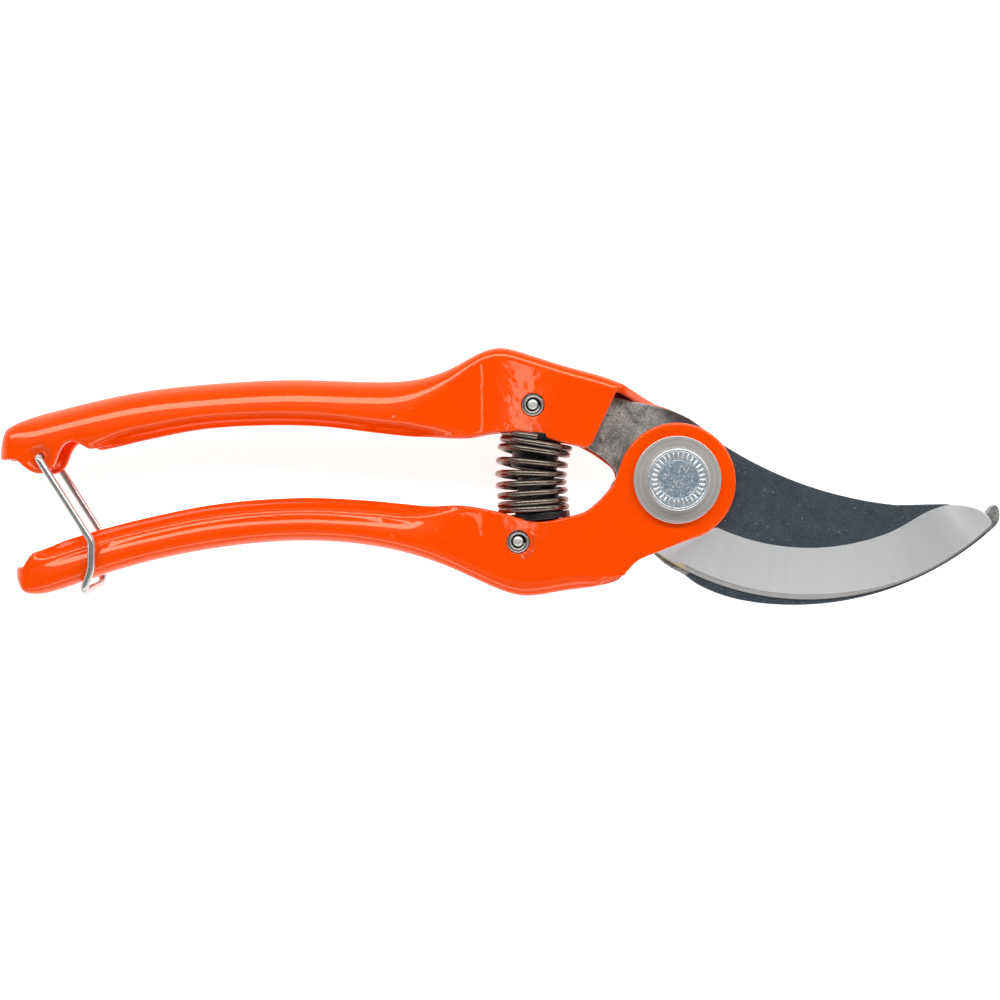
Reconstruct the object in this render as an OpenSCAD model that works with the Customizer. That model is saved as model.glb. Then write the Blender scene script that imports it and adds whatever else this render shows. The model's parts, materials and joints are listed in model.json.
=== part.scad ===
// Bypass pruning shears: two pressed steel handles, a cutting blade that passes a hooked counter
// blade, a compression spring between the handles and a wire catch that holds them closed.
// The origin is on the pivot axis, on the face that the shears lie on. +X points to the blade
// tips, +Z along the pivot bolt to its head. The shears are drawn closed.

/* [Handles] */
// Thickness of the pressed sheet
sheet = 2; // [1.8:0.05:2]
// Outside width of the channel at the head, where it holds a blade
head_w = 11; // [10.8:0.1:11]
// Outside width of the channel in the grips
grip_w = 15; // [14:0.1:15]
// Outside corner radius of the grips
grip_r = 4.6; // [3:0.1:4.6]
// Outside corner radius of the head
head_r = 1.8; // [1:0.1:2]
// Depth to which the open edges of the grips are rolled inwards
lip_in = 3.2; // [2.4:0.1:3.4]
// Radius of the round eye that each handle has on the pivot
hub_r = 11.7; // [11.2:0.1:12]

/* [Blades] */
// Thickness of the cutting blade
cut_t = 3.15; // [2.6:0.05:3.15]
// Thickness of the counter blade
counter_t = 3.7; // [3:0.05:3.7]
// Height of the two blades' meeting plane above the middle of the handles
meet_z = 0.25; // [0.2:0.05:0.3]
// Width of the ground bevel of the cutting blade
bevel_w = 10.4; // [8:0.1:11]
// Thickness left at the cutting edge
edge_t = 0.5; // [0.3:0.1:1]

/* [Pivot] */
// Diameter of the bolt shank
bolt_d = 8; // [7:0.1:8.4]
// Radial running clearance of the lower handle and the cutting blade on the bolt
run_gap = 0.05; // [0.02:0.01:0.08]
// Diameter of the bolt head
bolt_head_d = 12.2; // [11.5:0.1:13]
// Height of the bolt head
bolt_head_h = 2.4; // [2:0.1:2.4]
// Diameter of both washers
washer_d = 17.3; // [16:0.1:18]
// Thickness of the front washer
front_washer_t = 1.15; // [1:0.05:1.2]
// Thickness of the rear washer
rear_washer_t = 1; // [0.8:0.1:1.2]
// Height of the nut
nut_h = 2.8; // [2.4:0.1:3]
// Width of the nut across its flats
nut_w = 13; // [12:0.1:13]

/* [Pins] */
// Diameter of the coiled pins that hold the blades in the handles
pin_d = 4.6; // [4:0.1:4.8]
// Bore left in the middle of a coiled pin
pin_bore = 1.8; // [1.4:0.1:2.2]

/* [Spring] */
// Diameter of the spring wire
wire_d = 1.25; // [1:0.05:1.3]
// Outside diameter of the coil
coil_d = 14.4; // [14:0.1:14.6]
// Number of turns
coil_turns = 8; // [6:0.5:8]

/* [Catch] */
// Diameter of the catch wire
catch_d = 1.5; // [1.2:0.1:1.5]
// Distance between the middles of the two legs
catch_w = 17.1; // [16.9:0.1:17.3]

/* [Hidden] */
$fn = 48;

orange = [1, 0.3, 0.02];
dark_steel = [0.27, 0.31, 0.35];
ground_steel = [0.78, 0.8, 0.81];
zinc = [0.72, 0.77, 0.82];
black = [0.1, 0.1, 0.11];
bronze = [0.4, 0.35, 0.3];

eps = 0.01;
// Everything between the two walls of a handle's head
channel_w = head_w - 2 * sheet;
// Height of the handles' middle plane above the face that the shears lie on
mid_z = nut_h + rear_washer_t + head_w / 2;
// Clearance between two flat faces that slide on each other
slide_gap = 0.05;

// Centres of the holes, with the pivot as the origin
upper_pin_at = [-28.5, 14.8];
lower_pin_at = [-31.4, -12.3];
catch_at = [-125.8, 4.4];

// Handles: the closed back of the channel and the open edge of its walls, as heights over X.
// The lower handle is drawn upside down, so that both have their back up.
upper_end = -134;
lower_end = -130.8;
upper_back = [
    [-134, 6.6], [-133.4, 8.7], [-132.2, 10.3], [-130, 11.5], [-123, 13.8], [-107, 17.4],
    [-91, 19.2], [-75, 19.9], [-60, 19.5], [-51, 20.1], [-44, 22.5], [-39, 25.2], [-35, 26.2],
    [-31, 25.4], [-11, 19.2], [-3, 15.5]
];
upper_edge = [
    [-134, 3.8], [-130.4, 3.8], [-128.9, 2.6], [-127.4, 1.6], [-125.8, 1.2], [-124.2, 1.6],
    [-122.8, 3], [-121.8, 5.6], [-120.6, 7.2], [-119.4, 7.6], [-118, 7], [-115.6, 5.9],
    [-107, 7.9], [-95, 10.2], [-83, 11], [-71, 10.8], [-59, 9.4], [-50, 8.5], [-42, 8.4],
    [-36, 9.7], [-31, 9.8], [-23, 7.8], [-17, 6.5], [-11, 6.5], [-3, 6.5]
];
lower_back = [
    [-130.8, 20.4], [-129.6, 21.8], [-128, 22.5], [-126, 22.6], [-122, 21.7], [-116, 19.6],
    [-107, 16.8], [-91, 13.5], [-76, 12.1], [-63, 12.7], [-51, 15.2], [-43, 18.2], [-35, 21.8],
    [-31, 22.9], [-23, 22.1], [-15, 20.9], [-12, 20], [-10, 18.6], [-8, 16.8], [-3, 14.4]
];
lower_edge = [
    [-130.8, 17.2], [-129.2, 17], [-128.2, 15.4], [-127, 14.2], [-119, 11.3], [-107, 8],
    [-91, 4.8], [-75, 3.6], [-63, 4], [-51, 5], [-43, 5], [-35, 6.4], [-31, 7.6], [-27, 8.1],
    [-23, 7.7], [-17, 6.6], [-11, 6.6], [-3, 6.6]
];
// Where the wall that doesn't reach the pivot ends, from the open edge to the back
short_wall_end = [[-17.2, 6], [-10.6, 20.4]];
// The neck between a handle's head and its eye on the pivot: its open side, then its back
upper_neck = [[-24, 7.9], [-20, 7], [-17.2, 5.7], [-14.6, 4], [-12.2, 1.9], [-11.2, -1]];
upper_shoulder = [[5.4, 11], [3.4, 12.6], [1, 13.8], [-3, 15.5], [-11, 19]];
lower_neck = [[-24, 7.7], [-19, 6.6], [-16.8, 5.3], [-14.3, 2.9], [-12.4, 0.4], [-11.2, -3]];
lower_shoulder = [[4.4, 11.2], [-3.4, 14.6], [-8, 16.8], [-11, 19]];
// The eye is a little off the pivot, away from the handle's open side
hub_drop = 0.4;

tip_round = 3;
grip_end = -56;
head_start = -38;
lip_start = -118;
lip_full = -111;
lip_h = 3.8;
corner_steps = 4;
lip_steps = 2;

// ---- functions ----

// Smooth step from 0 at a to 1 at b
function ramp(x, a, b) = let (t = min(max((x - a) / (b - a), 0), 1)) t * t * (3 - 2 * t);

function slope_at(p, i) =
    let (a = max(i - 1, 0), b = min(i + 1, len(p) - 1)) (p[b][1] - p[a][1]) / (p[b][0] - p[a][0]);

function span_at(p, x, i = 0) = i >= len(p) - 2 || x < p[i + 1][0] ? i : span_at(p, x, i + 1);

// Height at x of the smooth curve through the points p
function curve_y(p, x) =
    let (
        i = span_at(p, x),
        w = p[i + 1][0] - p[i][0],
        t = (x - p[i][0]) / w,
        s = t * t * (3 - 2 * t)
    )
    (1 - s) * p[i][1] + s * p[i + 1][1]
        + t * (1 - t) * w * ((1 - t) * slope_at(p, i) - t * slope_at(p, i + 1));

// Centre of the circle through three points
function centre3(a, b, c) =
    let (
        d = 2 * (a.x * (b.y - c.y) + b.x * (c.y - a.y) + c.x * (a.y - b.y)),
        aa = a * a,
        bb = b * b,
        cc = c * c
    )
    [
        (aa * (b.y - c.y) + bb * (c.y - a.y) + cc * (a.y - b.y)) / d,
        (aa * (c.x - b.x) + bb * (a.x - c.x) + cc * (b.x - a.x)) / d
    ];

// Points along the arc from a through b to c, which turns by less than half a circle
function arc3(a, b, c, steps = 16) =
    let (
        o = centre3(a, b, c),
        r = norm(a - o),
        from = atan2(a.y - o.y, a.x - o.x),
        turn = atan2(c.y - o.y, c.x - o.x) - from,
        sweep_by = turn > 180 ? turn - 360 : turn < -180 ? turn + 360 : turn
    )
    [for (i = [0:steps]) let (t = from + sweep_by * i / steps) o + r * [cos(t), sin(t)]];

// A corner of a wire path, rounded between a distance before it and the same after it
function bend(a, b, c, reach, steps = 4) =
    let (p = b + reach * (a - b) / norm(a - b), q = b + reach * (c - b) / norm(c - b))
    [for (i = [0:steps]) let (t = i / steps) (1 - t) ^ 2 * p + 2 * t * (1 - t) * b + t * t * q];

// ---- general shapes ----

// Round tube of diameter d along a path; ref is a direction that the path never takes
module wire(path, d, sides, ref) {
    n = len(path);
    rings = [
        for (i = [0:n - 1])
            let (
                t = path[min(i + 1, n - 1)] - path[max(i - 1, 0)],
                u = cross(t, ref) / norm(cross(t, ref)),
                v = cross(u, t) / norm(t)
            )
            for (k = [0:sides - 1])
                path[i] + d / 2 * (u * cos(360 * k / sides) + v * sin(360 * k / sides))
    ];
    polyhedron(
        rings,
        concat(
            [[for (k = [0:sides - 1]) sides - 1 - k]],
            [for (i = [0:n - 2]) for (k = [0:sides - 1])
                let (a = i * sides + k, b = i * sides + (k + 1) % sides) [a, b, b + sides, a + sides]],
            [[for (k = [0:sides - 1]) (n - 1) * sides + k]]
        ),
        convexity = 10
    );
}

// A plate between two heights, measured from the middle plane of the handles
module plate(z0, z1) {
    translate([0, 0, mid_z + z0])
        linear_extrude(z1 - z0)
            children();
}

// A round bar or bore along Z between two heights, measured from the middle plane
module bar(at, d, z0, z1) {
    translate([at.x, at.y, mid_z + z0])
        cylinder(d = d, h = z1 - z0);
}

// ---- handles ----

// Outside width of the channel at x: full in the grip, narrow at the head, round at the free end
function width_at(x, start) =
    let (e = max(tip_round - (x - start), 0) / tip_round)
    grip_w + (head_w - grip_w) * ramp(x, grip_end, head_start)
        - 2 * tip_round * (1 - sqrt(max(1 - e * e, 0)));

// Depth of the rolled edge at x
function lip_at(x) = lip_in * ramp(x, lip_start, lip_full) * (1 - ramp(x, grip_end, head_start));

// Half of the channel's outline at x, as [z, y], from the open edge to the back. inset is 0 for
// the outer skin and the sheet's thickness for the inner one.
function half_ring(x, back, edge, start, inset) =
    let (
        y0 = curve_y(edge, x),
        y1 = curve_y(back, x) - inset,
        tall = y1 + inset - y0,
        half = width_at(x, start) / 2 - inset,
        curl = lip_at(x) / lip_in * inset,
        low = y0 + curl,
        deep = lip_at(x) - curl,
        lip_y = min(lip_h, 0.4 * tall) - curl,
        r = max(min(grip_r + (head_r - grip_r) * ramp(x, grip_end, head_start), tall / 2) - inset, 0.4)
    )
    concat(
        [for (i = [0:lip_steps]) let (t = 90 * (1 - i / lip_steps))
            [half - deep * (1 - cos(t)), low + lip_y * (1 - sin(t))]],
        [for (i = [0:corner_steps]) let (t = 90 * i / corner_steps)
            [half - r + r * cos(t), y1 - r + r * sin(t)]]
    );

// The whole outline at x, from the edge of one wall over the back to the edge of the other
function ring(x, back, edge, start, inset) =
    let (h = half_ring(x, back, edge, start, inset), n = len(h))
    concat(
        [for (i = [0:n - 1]) [x, h[i][1], -h[i][0]]],
        [for (i = [0:n - 1]) [x, h[n - 1 - i][1], h[n - 1 - i][0]]]
    );

// Channel of folded sheet with a closed free end. xs are the stations of its sections; the
// cavity starts at station number first.
module channel(back, edge, xs, first) {
    n = len(xs);
    m = 2 * (corner_steps + lip_steps + 2);
    outer = [for (x = xs) each ring(x, back, edge, xs[0], 0)];
    inner = [for (i = [first:n - 1]) each ring(xs[i], back, edge, xs[0], sheet)];
    base = n * m;
    // Number of point j of the outer or the inner outline at station i
    function o(i, j) = i * m + j;
    function c(i, j) = base + (i - first) * m + j;
    polyhedron(
        concat(outer, inner),
        concat(
            [[for (j = [0:m - 1]) o(0, (j + m / 2) % m)]],
            [for (i = [0:n - 2]) for (j = [0:m - 2])
                [o(i, j), o(i + 1, j), o(i + 1, j + 1), o(i, j + 1)]],
            [for (i = [0:first - 2]) [o(i, 0), o(i, m - 1), o(i + 1, m - 1), o(i + 1, 0)]],
            [[o(first - 1, 0), o(first - 1, m - 1), o(first, m - 1),
                c(first, m - 1), c(first, 0), o(first, 0)]],
            [[for (j = [0:m - 1]) c(first, (m / 2 - 1 - j + m) % m)]],
            [for (i = [first:n - 2]) for (j = [0:m - 2])
                [c(i, j), c(i, j + 1), c(i + 1, j + 1), c(i + 1, j)]],
            [for (i = [first:n - 2]) [o(i, 0), c(i, 0), c(i + 1, 0), o(i + 1, 0)]],
            [for (i = [first:n - 2]) [o(i + 1, m - 1), c(i + 1, m - 1), c(i, m - 1), o(i, m - 1)]],
            [for (j = [0:m - 2]) [o(n - 1, j), c(n - 1, j), c(n - 1, j + 1), o(n - 1, j + 1)]]
        ),
        convexity = 10
    );
}

// One handle with its back up and its long wall at the rear, about the middle plane
module pressed_handle(back, edge, xs, neck, shoulder) {
    difference() {
        union() {
            channel(back, edge, xs, 4);
            translate([0, 0, -head_w / 2])
                linear_extrude(sheet) {
                    translate([0, hub_drop])
                        circle(hub_r);
                    polygon(concat(neck, [[0, -2]], shoulder, [[-22, 19], [-24, 14]]));
                }
        }
        // The short wall's end
        translate([0, 0, -channel_w / 2 - eps])
            linear_extrude(channel_w + sheet + 1)
                polygon([
                    short_wall_end[0] - [0, 8], short_wall_end[0], short_wall_end[1],
                    short_wall_end[1] + [4, 8], [0, 30], [0, -2]
                ]);
    }
}

upper_stations = concat(
    [for (d = [0, 0.3, 0.8, 1.6, sheet]) upper_end + d],
    [for (x = [-131:1:-112]) x],
    [for (x = [-106:6:-58]) x],
    [for (x = [-55:2.5:-30]) x],
    [-26, -22, -17, -10, -3]
);
lower_stations = concat(
    [for (d = [0, 0.3, 0.8, 1.4, sheet]) lower_end + d],
    [for (x = [-128:2:-120]) x],
    [for (x = [-116:6:-58]) x],
    [for (x = [-55:2.5:-30]) x],
    [-26, -22, -17, -10, -3]
);

module upper_handle() {
    color(orange)
        difference() {
            translate([0, 0, mid_z])
                pressed_handle(upper_back, upper_edge, upper_stations, upper_neck, upper_shoulder);
            bar([0, 0], bolt_d, -head_w, 0);
            bar(upper_pin_at, pin_d, -head_w, head_w);
            bar(catch_at, catch_d + 0.2, -grip_w, grip_w);
        }
}

module lower_handle() {
    color(orange)
        difference() {
            translate([0, 0, mid_z])
                rotate([180, 0, 0])
                    pressed_handle(lower_back, lower_edge, lower_stations, lower_neck, lower_shoulder);
            bar([0, 0], bolt_d + 2 * run_gap, 0, head_w);
            bar(lower_pin_at, pin_d, -head_w, head_w);
        }
}

// ---- blades ----

// Both faces of the cutting blade, above the middle plane
cut_z = meet_z + slide_gap;
counter_z = meet_z - counter_t;

edge_arc = arc3([62.9, -9], [26, -23.9], [-3.8, -14.6], 24);
bevel_centre = centre3([62.9, -9], [26, -23.9], [-3.8, -14.6]);
edge_r = norm(bevel_centre - [26, -23.9]);
bevel_slope = (cut_t - edge_t) / bevel_w;

module cutting_outline() {
    polygon(concat(
        arc3([8.4, 7.6], [26, -1.1], [44, -5], 12),
        [[50, -4.9], [55, -5], [58.4, -5.5], [61.2, -6.5]],
        edge_arc,
        [[-8, -15.4], [-12, -17.2], [-20, -19], [-33, -20.2], [-36.4, -18], [-36.8, -11.4],
            [-34, -9.8], [-24, -9.6], [-18.4, -7.8], [-14.6, -4.2], [-12.6, -0.6]],
        arc3([-11, 1.6], [-1, 11.1], [8.4, 7.6], 12)
    ));
}

module cutting_blade() {
    color(ground_steel)
        difference() {
            plate(cut_z, cut_z + cut_t)
                cutting_outline();
            // Ground bevel: a cone about the edge's own centre, falling from the bevel's inner
            // boundary to the thickness left at the edge
            translate([bevel_centre.x, bevel_centre.y, mid_z + cut_z])
                rotate([0, 0, -127])
                    rotate_extrude(angle = 100, $fn = 96)
                        polygon([
                            [edge_r - bevel_w - 1 / bevel_slope, cut_t + 1], [edge_r + 3, cut_t + 1],
                            [edge_r + 3, edge_t - 3 * bevel_slope]
                        ]);
            bar([0, 0], bolt_d + 2 * run_gap, 0, head_w);
            bar(lower_pin_at, pin_d, -head_w, head_w);
        }
}

module counter_blade() {
    color(dark_steel)
        difference() {
            plate(counter_z, meet_z)
                polygon(concat(
                    arc3([-3.2, -15.8], [27, -24.9], [62.8, -10], 24),
                    [[64.4, -8], [64.6, -6.3], [63.9, -5.1], [61.8, -6.2]],
                    arc3([59.6, -8], [34, -18.2], [12.6, -13.2], 16),
                    arc3([9.6, -8], [11.3, 1], [6.4, 9.6], 8),
                    [[3, 12.2], [-2, 14.3], [-11.8, 16.6], [-32, 22.3], [-35.6, 20.4],
                        [-36.2, 12.4], [-33.6, 10.6], [-22, 9.4], [-18.6, 7.2], [-16.2, 5.7],
                        [-13.8, 4], [-11.6, 1.4]],
                    arc3([-10.8, -2.6], [-8.4, -9.4], [-3.2, -15.8], 8)
                ));
            bar([0, 0], bolt_d, -head_w, head_w);
            bar(upper_pin_at, pin_d, -head_w, head_w);
        }
}

// ---- pivot ----

module washer(d, z0, z1) {
    difference() {
        bar([0, 0], d, z0, z1);
        bar([0, 0], bolt_d, z0 - 1, z1 + 1);
    }
}

front_washer_z = head_w / 2 + slide_gap;
head_z = front_washer_z + front_washer_t;
nut_z = -mid_z;

module pivot_bolt() {
    chamfer = 0.4;
    ring_r = bolt_head_d / 2 - 2.2;
    color(zinc)
        translate([0, 0, mid_z])
            rotate_extrude()
                polygon([
                    [0, nut_z], [bolt_d / 2 - chamfer, nut_z],
                    [bolt_d / 2, nut_z + chamfer], [bolt_d / 2, head_z],
                    [bolt_head_d / 2, head_z], [bolt_head_d / 2, head_z + bolt_head_h - chamfer],
                    [bolt_head_d / 2 - chamfer, head_z + bolt_head_h],
                    [ring_r, head_z + bolt_head_h], [ring_r - 0.2, head_z + bolt_head_h - 0.2],
                    [0, head_z + bolt_head_h - 0.2]
                ]);
}

module front_washer() {
    color(ground_steel)
        washer(washer_d, front_washer_z, head_z);
}

module rear_washer() {
    color(ground_steel)
        washer(washer_d, -head_w / 2 - rear_washer_t, -head_w / 2);
}

module pivot_nut() {
    color(zinc)
        difference() {
            intersection() {
                bar([0, 0], nut_w / cos(30), nut_z, nut_z + nut_h, $fn = 6);
                translate([0, 0, mid_z + nut_z])
                    rotate_extrude()
                        polygon([
                            [0, 0], [nut_w / 2, 0], [nut_w / 2 + 1.2, 0.7],
                            [nut_w / 2 + 1.2, nut_h], [0, nut_h]
                        ]);
            }
            bar([0, 0], bolt_d, -2 * mid_z, 0);
        }
}

// ---- pins ----

// Pin rolled from spring steel, with the slot where its sheet ends
module coiled_pin(at) {
    slot = 0.3;
    depth = 0.3;
    color(ground_steel)
        difference() {
            bar(at, pin_d, -head_w / 2 + depth, head_w / 2 - depth);
            bar(at, pin_bore, -head_w, head_w);
            translate([at.x, at.y - slot / 2, 0])
                cube([pin_d, slot, 2 * mid_z]);
        }
}

module upper_pin() {
    coiled_pin(upper_pin_at);
}

module lower_pin() {
    coiled_pin(lower_pin_at);
}

// ---- spring and its seats ----

upper_seat_at = [-27.8, 8.8];
upper_seat_tilt = -7.5;
lower_seat_at = [-27.2, -6.5];
lower_seat_tilt = 5;
upper_flange_t = 0.8;
upper_peg_d = 9.3;
upper_flange_r = 6.9;
upper_peg_h = 6;
lower_flange_t = 1.4;
lower_flange_r = 6.2;
lower_peg_h = 7;

// A body of revolution about the local +Y axis at a point of the XY plane
module turned(at, tilt, profile) {
    translate([at.x, at.y, mid_z])
        rotate([0, 0, tilt])
            rotate([-90, 0, 0])
                rotate_extrude()
                    polygon(profile);
}

// Everything below the open edge of the channel's walls, for a seat that straddles them
module edge_block(edge, side) {
    for (s = [-1, 1])
        translate([0, 0, mid_z + s * (channel_w / 2 + 2.95) - 3])
            linear_extrude(6)
                polygon(concat(
                    [for (x = [-38:1.5:-17]) [x, side * (curve_y(edge, x) - 0.15)]],
                    [[-17, side * 24], [-38, side * 24]]
                ));
}

module upper_spring_seat() {
    color(black)
        difference() {
            union() {
                turned(upper_seat_at, upper_seat_tilt, [
                    [0, 0], [upper_flange_r, 0], [upper_flange_r, -upper_flange_t],
                    [upper_peg_d / 2, -upper_flange_t],
                    [upper_peg_d / 2, -upper_flange_t - upper_peg_h + 0.6],
                    [upper_peg_d / 2 - 0.6, -upper_flange_t - upper_peg_h],
                    [0, -upper_flange_t - upper_peg_h]
                ]);
                plate(meet_z + slide_gap, channel_w / 2 - slide_gap)
                    polygon([[-32.8, 8.2], [-32.8, 18.6], [-24.4, 18.6], [-23.8, 7.2]]);
            }
            edge_block(upper_edge, 1);
            bar(upper_pin_at, pin_d, -head_w, head_w);
        }
}

module lower_spring_seat() {
    color(black)
        difference() {
            union() {
                turned(lower_seat_at, lower_seat_tilt, [
                    [0, -lower_flange_t], [lower_flange_r, -lower_flange_t], [lower_flange_r, 0],
                    [4.8, 0], [3.6, lower_peg_h], [0, lower_peg_h]
                ]);
                plate(-channel_w / 2 + slide_gap, meet_z - slide_gap)
                    polygon([[-32, -7.6], [-35.4, -9], [-35.4, -16], [-26, -16], [-23, -6.8]]);
            }
            edge_block(lower_edge, -1);
            bar(lower_pin_at, pin_d, -head_w, head_w);
        }
}

// Gap left between the end coils and the seats
coil_gap = 0.1;
// Ends of the coil's axis along X, and how far its middle bows away from the pivot
coil_top_x = -28;
coil_bottom_x = -28.2;
coil_bow = 0.6;

// Height of the coil's axis after t of its length: a little closer wound at both ends
function coil_y(t) =
    let (
        top = upper_seat_at.y - upper_flange_t - wire_d / 2 - coil_gap,
        bottom = lower_seat_at.y + wire_d / 2 + coil_gap
    )
    top + (bottom - top) * (0.8 * t + 0.2 * t * t * (3 - 2 * t));

function coil_x(t) = coil_top_x + (coil_bottom_x - coil_top_x) * t - coil_bow * sin(180 * t);

// The coils lean with the upper seat at the top and with the lower seat at the bottom
function coil_tilt(t) = upper_seat_tilt + (lower_seat_tilt - upper_seat_tilt) * t;

module spring() {
    steps = 14;
    r = (coil_d - wire_d) / 2;
    color(bronze)
        wire(
            [for (i = [0:coil_turns * steps])
                let (t = i / (coil_turns * steps), x = r * sin(360 * i / steps))
                [coil_x(t) + x, coil_y(t) + x * tan(coil_tilt(t)), mid_z + r * cos(360 * i / steps)]],
            wire_d, 6, [0, 1, 0]
        );
}

// ---- catch ----

catch_knee = [-115.8, -12];
catch_foot = [-116.8, -22.1];
catch_bend = 2;
button_d = 2.6;
button_h = 0.9;

module catch_loop() {
    half = catch_w / 2;
    inside = grip_w / 2 - sheet - 0.1;
    a = [catch_at.x, catch_at.y, half];
    b = [catch_knee.x, catch_knee.y, half];
    c = [catch_foot.x, catch_foot.y, half];
    flip = [[1, 0, 0], [0, 1, 0], [0, 0, -1]];
    leg = concat([a], bend(a, b, c, catch_bend), bend(b, c, flip * c, catch_bend));
    color(ground_steel) {
        translate([0, 0, mid_z])
            wire(
                concat(leg, [for (i = [0:len(leg) - 1]) flip * leg[len(leg) - 1 - i]]),
                catch_d, 10, [1, 0, 0]
            );
        for (side = [-1, 1]) {
            bar(catch_at, catch_d, side > 0 ? inside - button_h : -half, side > 0 ? half : -inside + button_h);
            bar(catch_at, button_d, side > 0 ? inside - button_h : -inside, side > 0 ? inside : -inside + button_h);
        }
    }
}

upper_handle();
counter_blade();
upper_pin();
upper_spring_seat();
pivot_bolt();
front_washer();
rear_washer();
pivot_nut();
lower_handle();
cutting_blade();
lower_pin();
lower_spring_seat();
spring();
catch_loop();
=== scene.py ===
"""Looks of the bypass pruning shears: pressed and painted handles, coated and ground blades, turned
and coiled steel parts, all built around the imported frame. Shapes are worked out in millimetres and
written to Blender in metres."""
import json
import math
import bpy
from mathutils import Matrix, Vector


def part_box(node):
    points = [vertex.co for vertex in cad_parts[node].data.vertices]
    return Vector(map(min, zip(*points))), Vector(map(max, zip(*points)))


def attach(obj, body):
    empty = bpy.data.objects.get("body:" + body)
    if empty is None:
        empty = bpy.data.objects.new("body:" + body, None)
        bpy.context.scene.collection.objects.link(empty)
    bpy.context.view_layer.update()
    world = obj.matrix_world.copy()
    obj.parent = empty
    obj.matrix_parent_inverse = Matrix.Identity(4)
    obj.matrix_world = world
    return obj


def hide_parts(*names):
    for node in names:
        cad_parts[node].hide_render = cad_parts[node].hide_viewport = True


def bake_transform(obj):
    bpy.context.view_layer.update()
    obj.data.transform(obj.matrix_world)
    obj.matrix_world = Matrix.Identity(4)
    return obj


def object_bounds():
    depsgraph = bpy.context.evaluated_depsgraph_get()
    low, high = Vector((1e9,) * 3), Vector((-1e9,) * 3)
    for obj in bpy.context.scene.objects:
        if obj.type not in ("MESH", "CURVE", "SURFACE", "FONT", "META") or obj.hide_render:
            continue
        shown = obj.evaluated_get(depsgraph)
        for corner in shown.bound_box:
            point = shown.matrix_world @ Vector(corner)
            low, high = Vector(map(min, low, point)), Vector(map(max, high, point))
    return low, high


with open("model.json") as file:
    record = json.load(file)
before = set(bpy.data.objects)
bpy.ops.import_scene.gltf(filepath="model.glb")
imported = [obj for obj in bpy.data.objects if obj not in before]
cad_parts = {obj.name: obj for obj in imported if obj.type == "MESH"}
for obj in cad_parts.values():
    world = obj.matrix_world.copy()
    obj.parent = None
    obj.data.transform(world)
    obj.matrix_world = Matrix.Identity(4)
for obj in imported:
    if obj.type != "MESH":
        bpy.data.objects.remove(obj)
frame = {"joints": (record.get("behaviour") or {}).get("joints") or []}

from types import SimpleNamespace

import bpy
import numpy as np
from mathutils import Vector, geometry

cad_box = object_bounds()
MM = 0.001


# ---- places taken from the frame, in mm ----

def box_mm(node):
    low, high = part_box(node)
    return np.array(low) / MM, np.array(high) / MM


def centre_of(node):
    low, high = box_mm(node)
    return (low + high) / 2


def joint_at(name):
    return np.array([j for j in frame["joints"] if j["name"] == name][0]["pos_m"]) / MM


SLIDE_GAP = 0.05
MID_Z = centre_of("upper_handle")[2]
GRIP_HALF = box_mm("upper_handle")[1][2] - MID_Z
HEAD_HALF = box_mm("front_washer")[0][2] - SLIDE_GAP - MID_Z
UPPER_PIN = centre_of("upper_pin")
LOWER_PIN = centre_of("lower_pin")
PIN_R = (box_mm("upper_pin")[1][0] - box_mm("upper_pin")[0][0]) / 2
CATCH_AT = joint_at("catch_swing")
CUT_LOW = box_mm("cutting_blade")[0][2]
CUT_HIGH = box_mm("cutting_blade")[1][2]
COUNTER_LOW = box_mm("counter_blade")[0][2]
COUNTER_HIGH = box_mm("counter_blade")[1][2]

SHEET = 2.0
BOLT_R = 4.0
EYE_R = 11.7
EYE_UP = 0.4


# ---- curves ----

def ramp(x, a, b):
    """Smooth step from 0 at a to 1 at b."""
    t = np.clip((x - a) / (b - a), 0, 1)
    return t * t * (3 - 2 * t)


def hermite(points, x):
    """Height at x of a curve that keeps close to its points, for outlines with sharp turns."""
    px, py = np.array(points, float).T
    x = np.clip(x, px[0], px[-1])
    slope = np.gradient(py, px)
    slope[1:-1] = (py[2:] - py[:-2]) / (px[2:] - px[:-2])
    i = np.clip(np.searchsorted(px, x, side="right") - 1, 0, len(px) - 2)
    w = px[i + 1] - px[i]
    t = (x - px[i]) / w
    s = t * t * (3 - 2 * t)
    bend = t * (1 - t) * w * ((1 - t) * slope[i] - t * slope[i + 1])
    return (1 - s) * py[i] + s * py[i + 1] + bend


def spline(points, x):
    """Height at x of the natural cubic spline, whose curvature has no jumps, for glossy backs."""
    px, py = np.array(points, float).T
    x = np.clip(x, px[0], px[-1])
    n = len(px)
    h = np.diff(px)
    a = np.eye(n)
    b = np.zeros(n)
    for k in range(1, n - 1):
        a[k, k - 1:k + 2] = h[k - 1], 2 * (h[k - 1] + h[k]), h[k]
        b[k] = 6 * ((py[k + 1] - py[k]) / h[k] - (py[k] - py[k - 1]) / h[k - 1])
    m = np.linalg.solve(a, b)
    i = np.clip(np.searchsorted(px, x, side="right") - 1, 0, n - 2)
    u, v, w = px[i + 1] - x, x - px[i], h[i]
    cubic = (m[i] * u ** 3 + m[i + 1] * v ** 3) / (6 * w)
    return cubic + (py[i] / w - m[i] * w / 6) * u + (py[i + 1] / w - m[i + 1] * w / 6) * v


def resample(points, step):
    """The same line with points about a step apart, both ends kept."""
    p = np.array(points, float)
    run = np.concatenate([[0], np.cumsum(np.linalg.norm(np.diff(p, axis=0), axis=1))])
    at = np.linspace(0, run[-1], max(2, round(run[-1] / step) + 1))
    return np.column_stack([np.interp(at, run, p[:, k]) for k in range(p.shape[1])])


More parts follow.
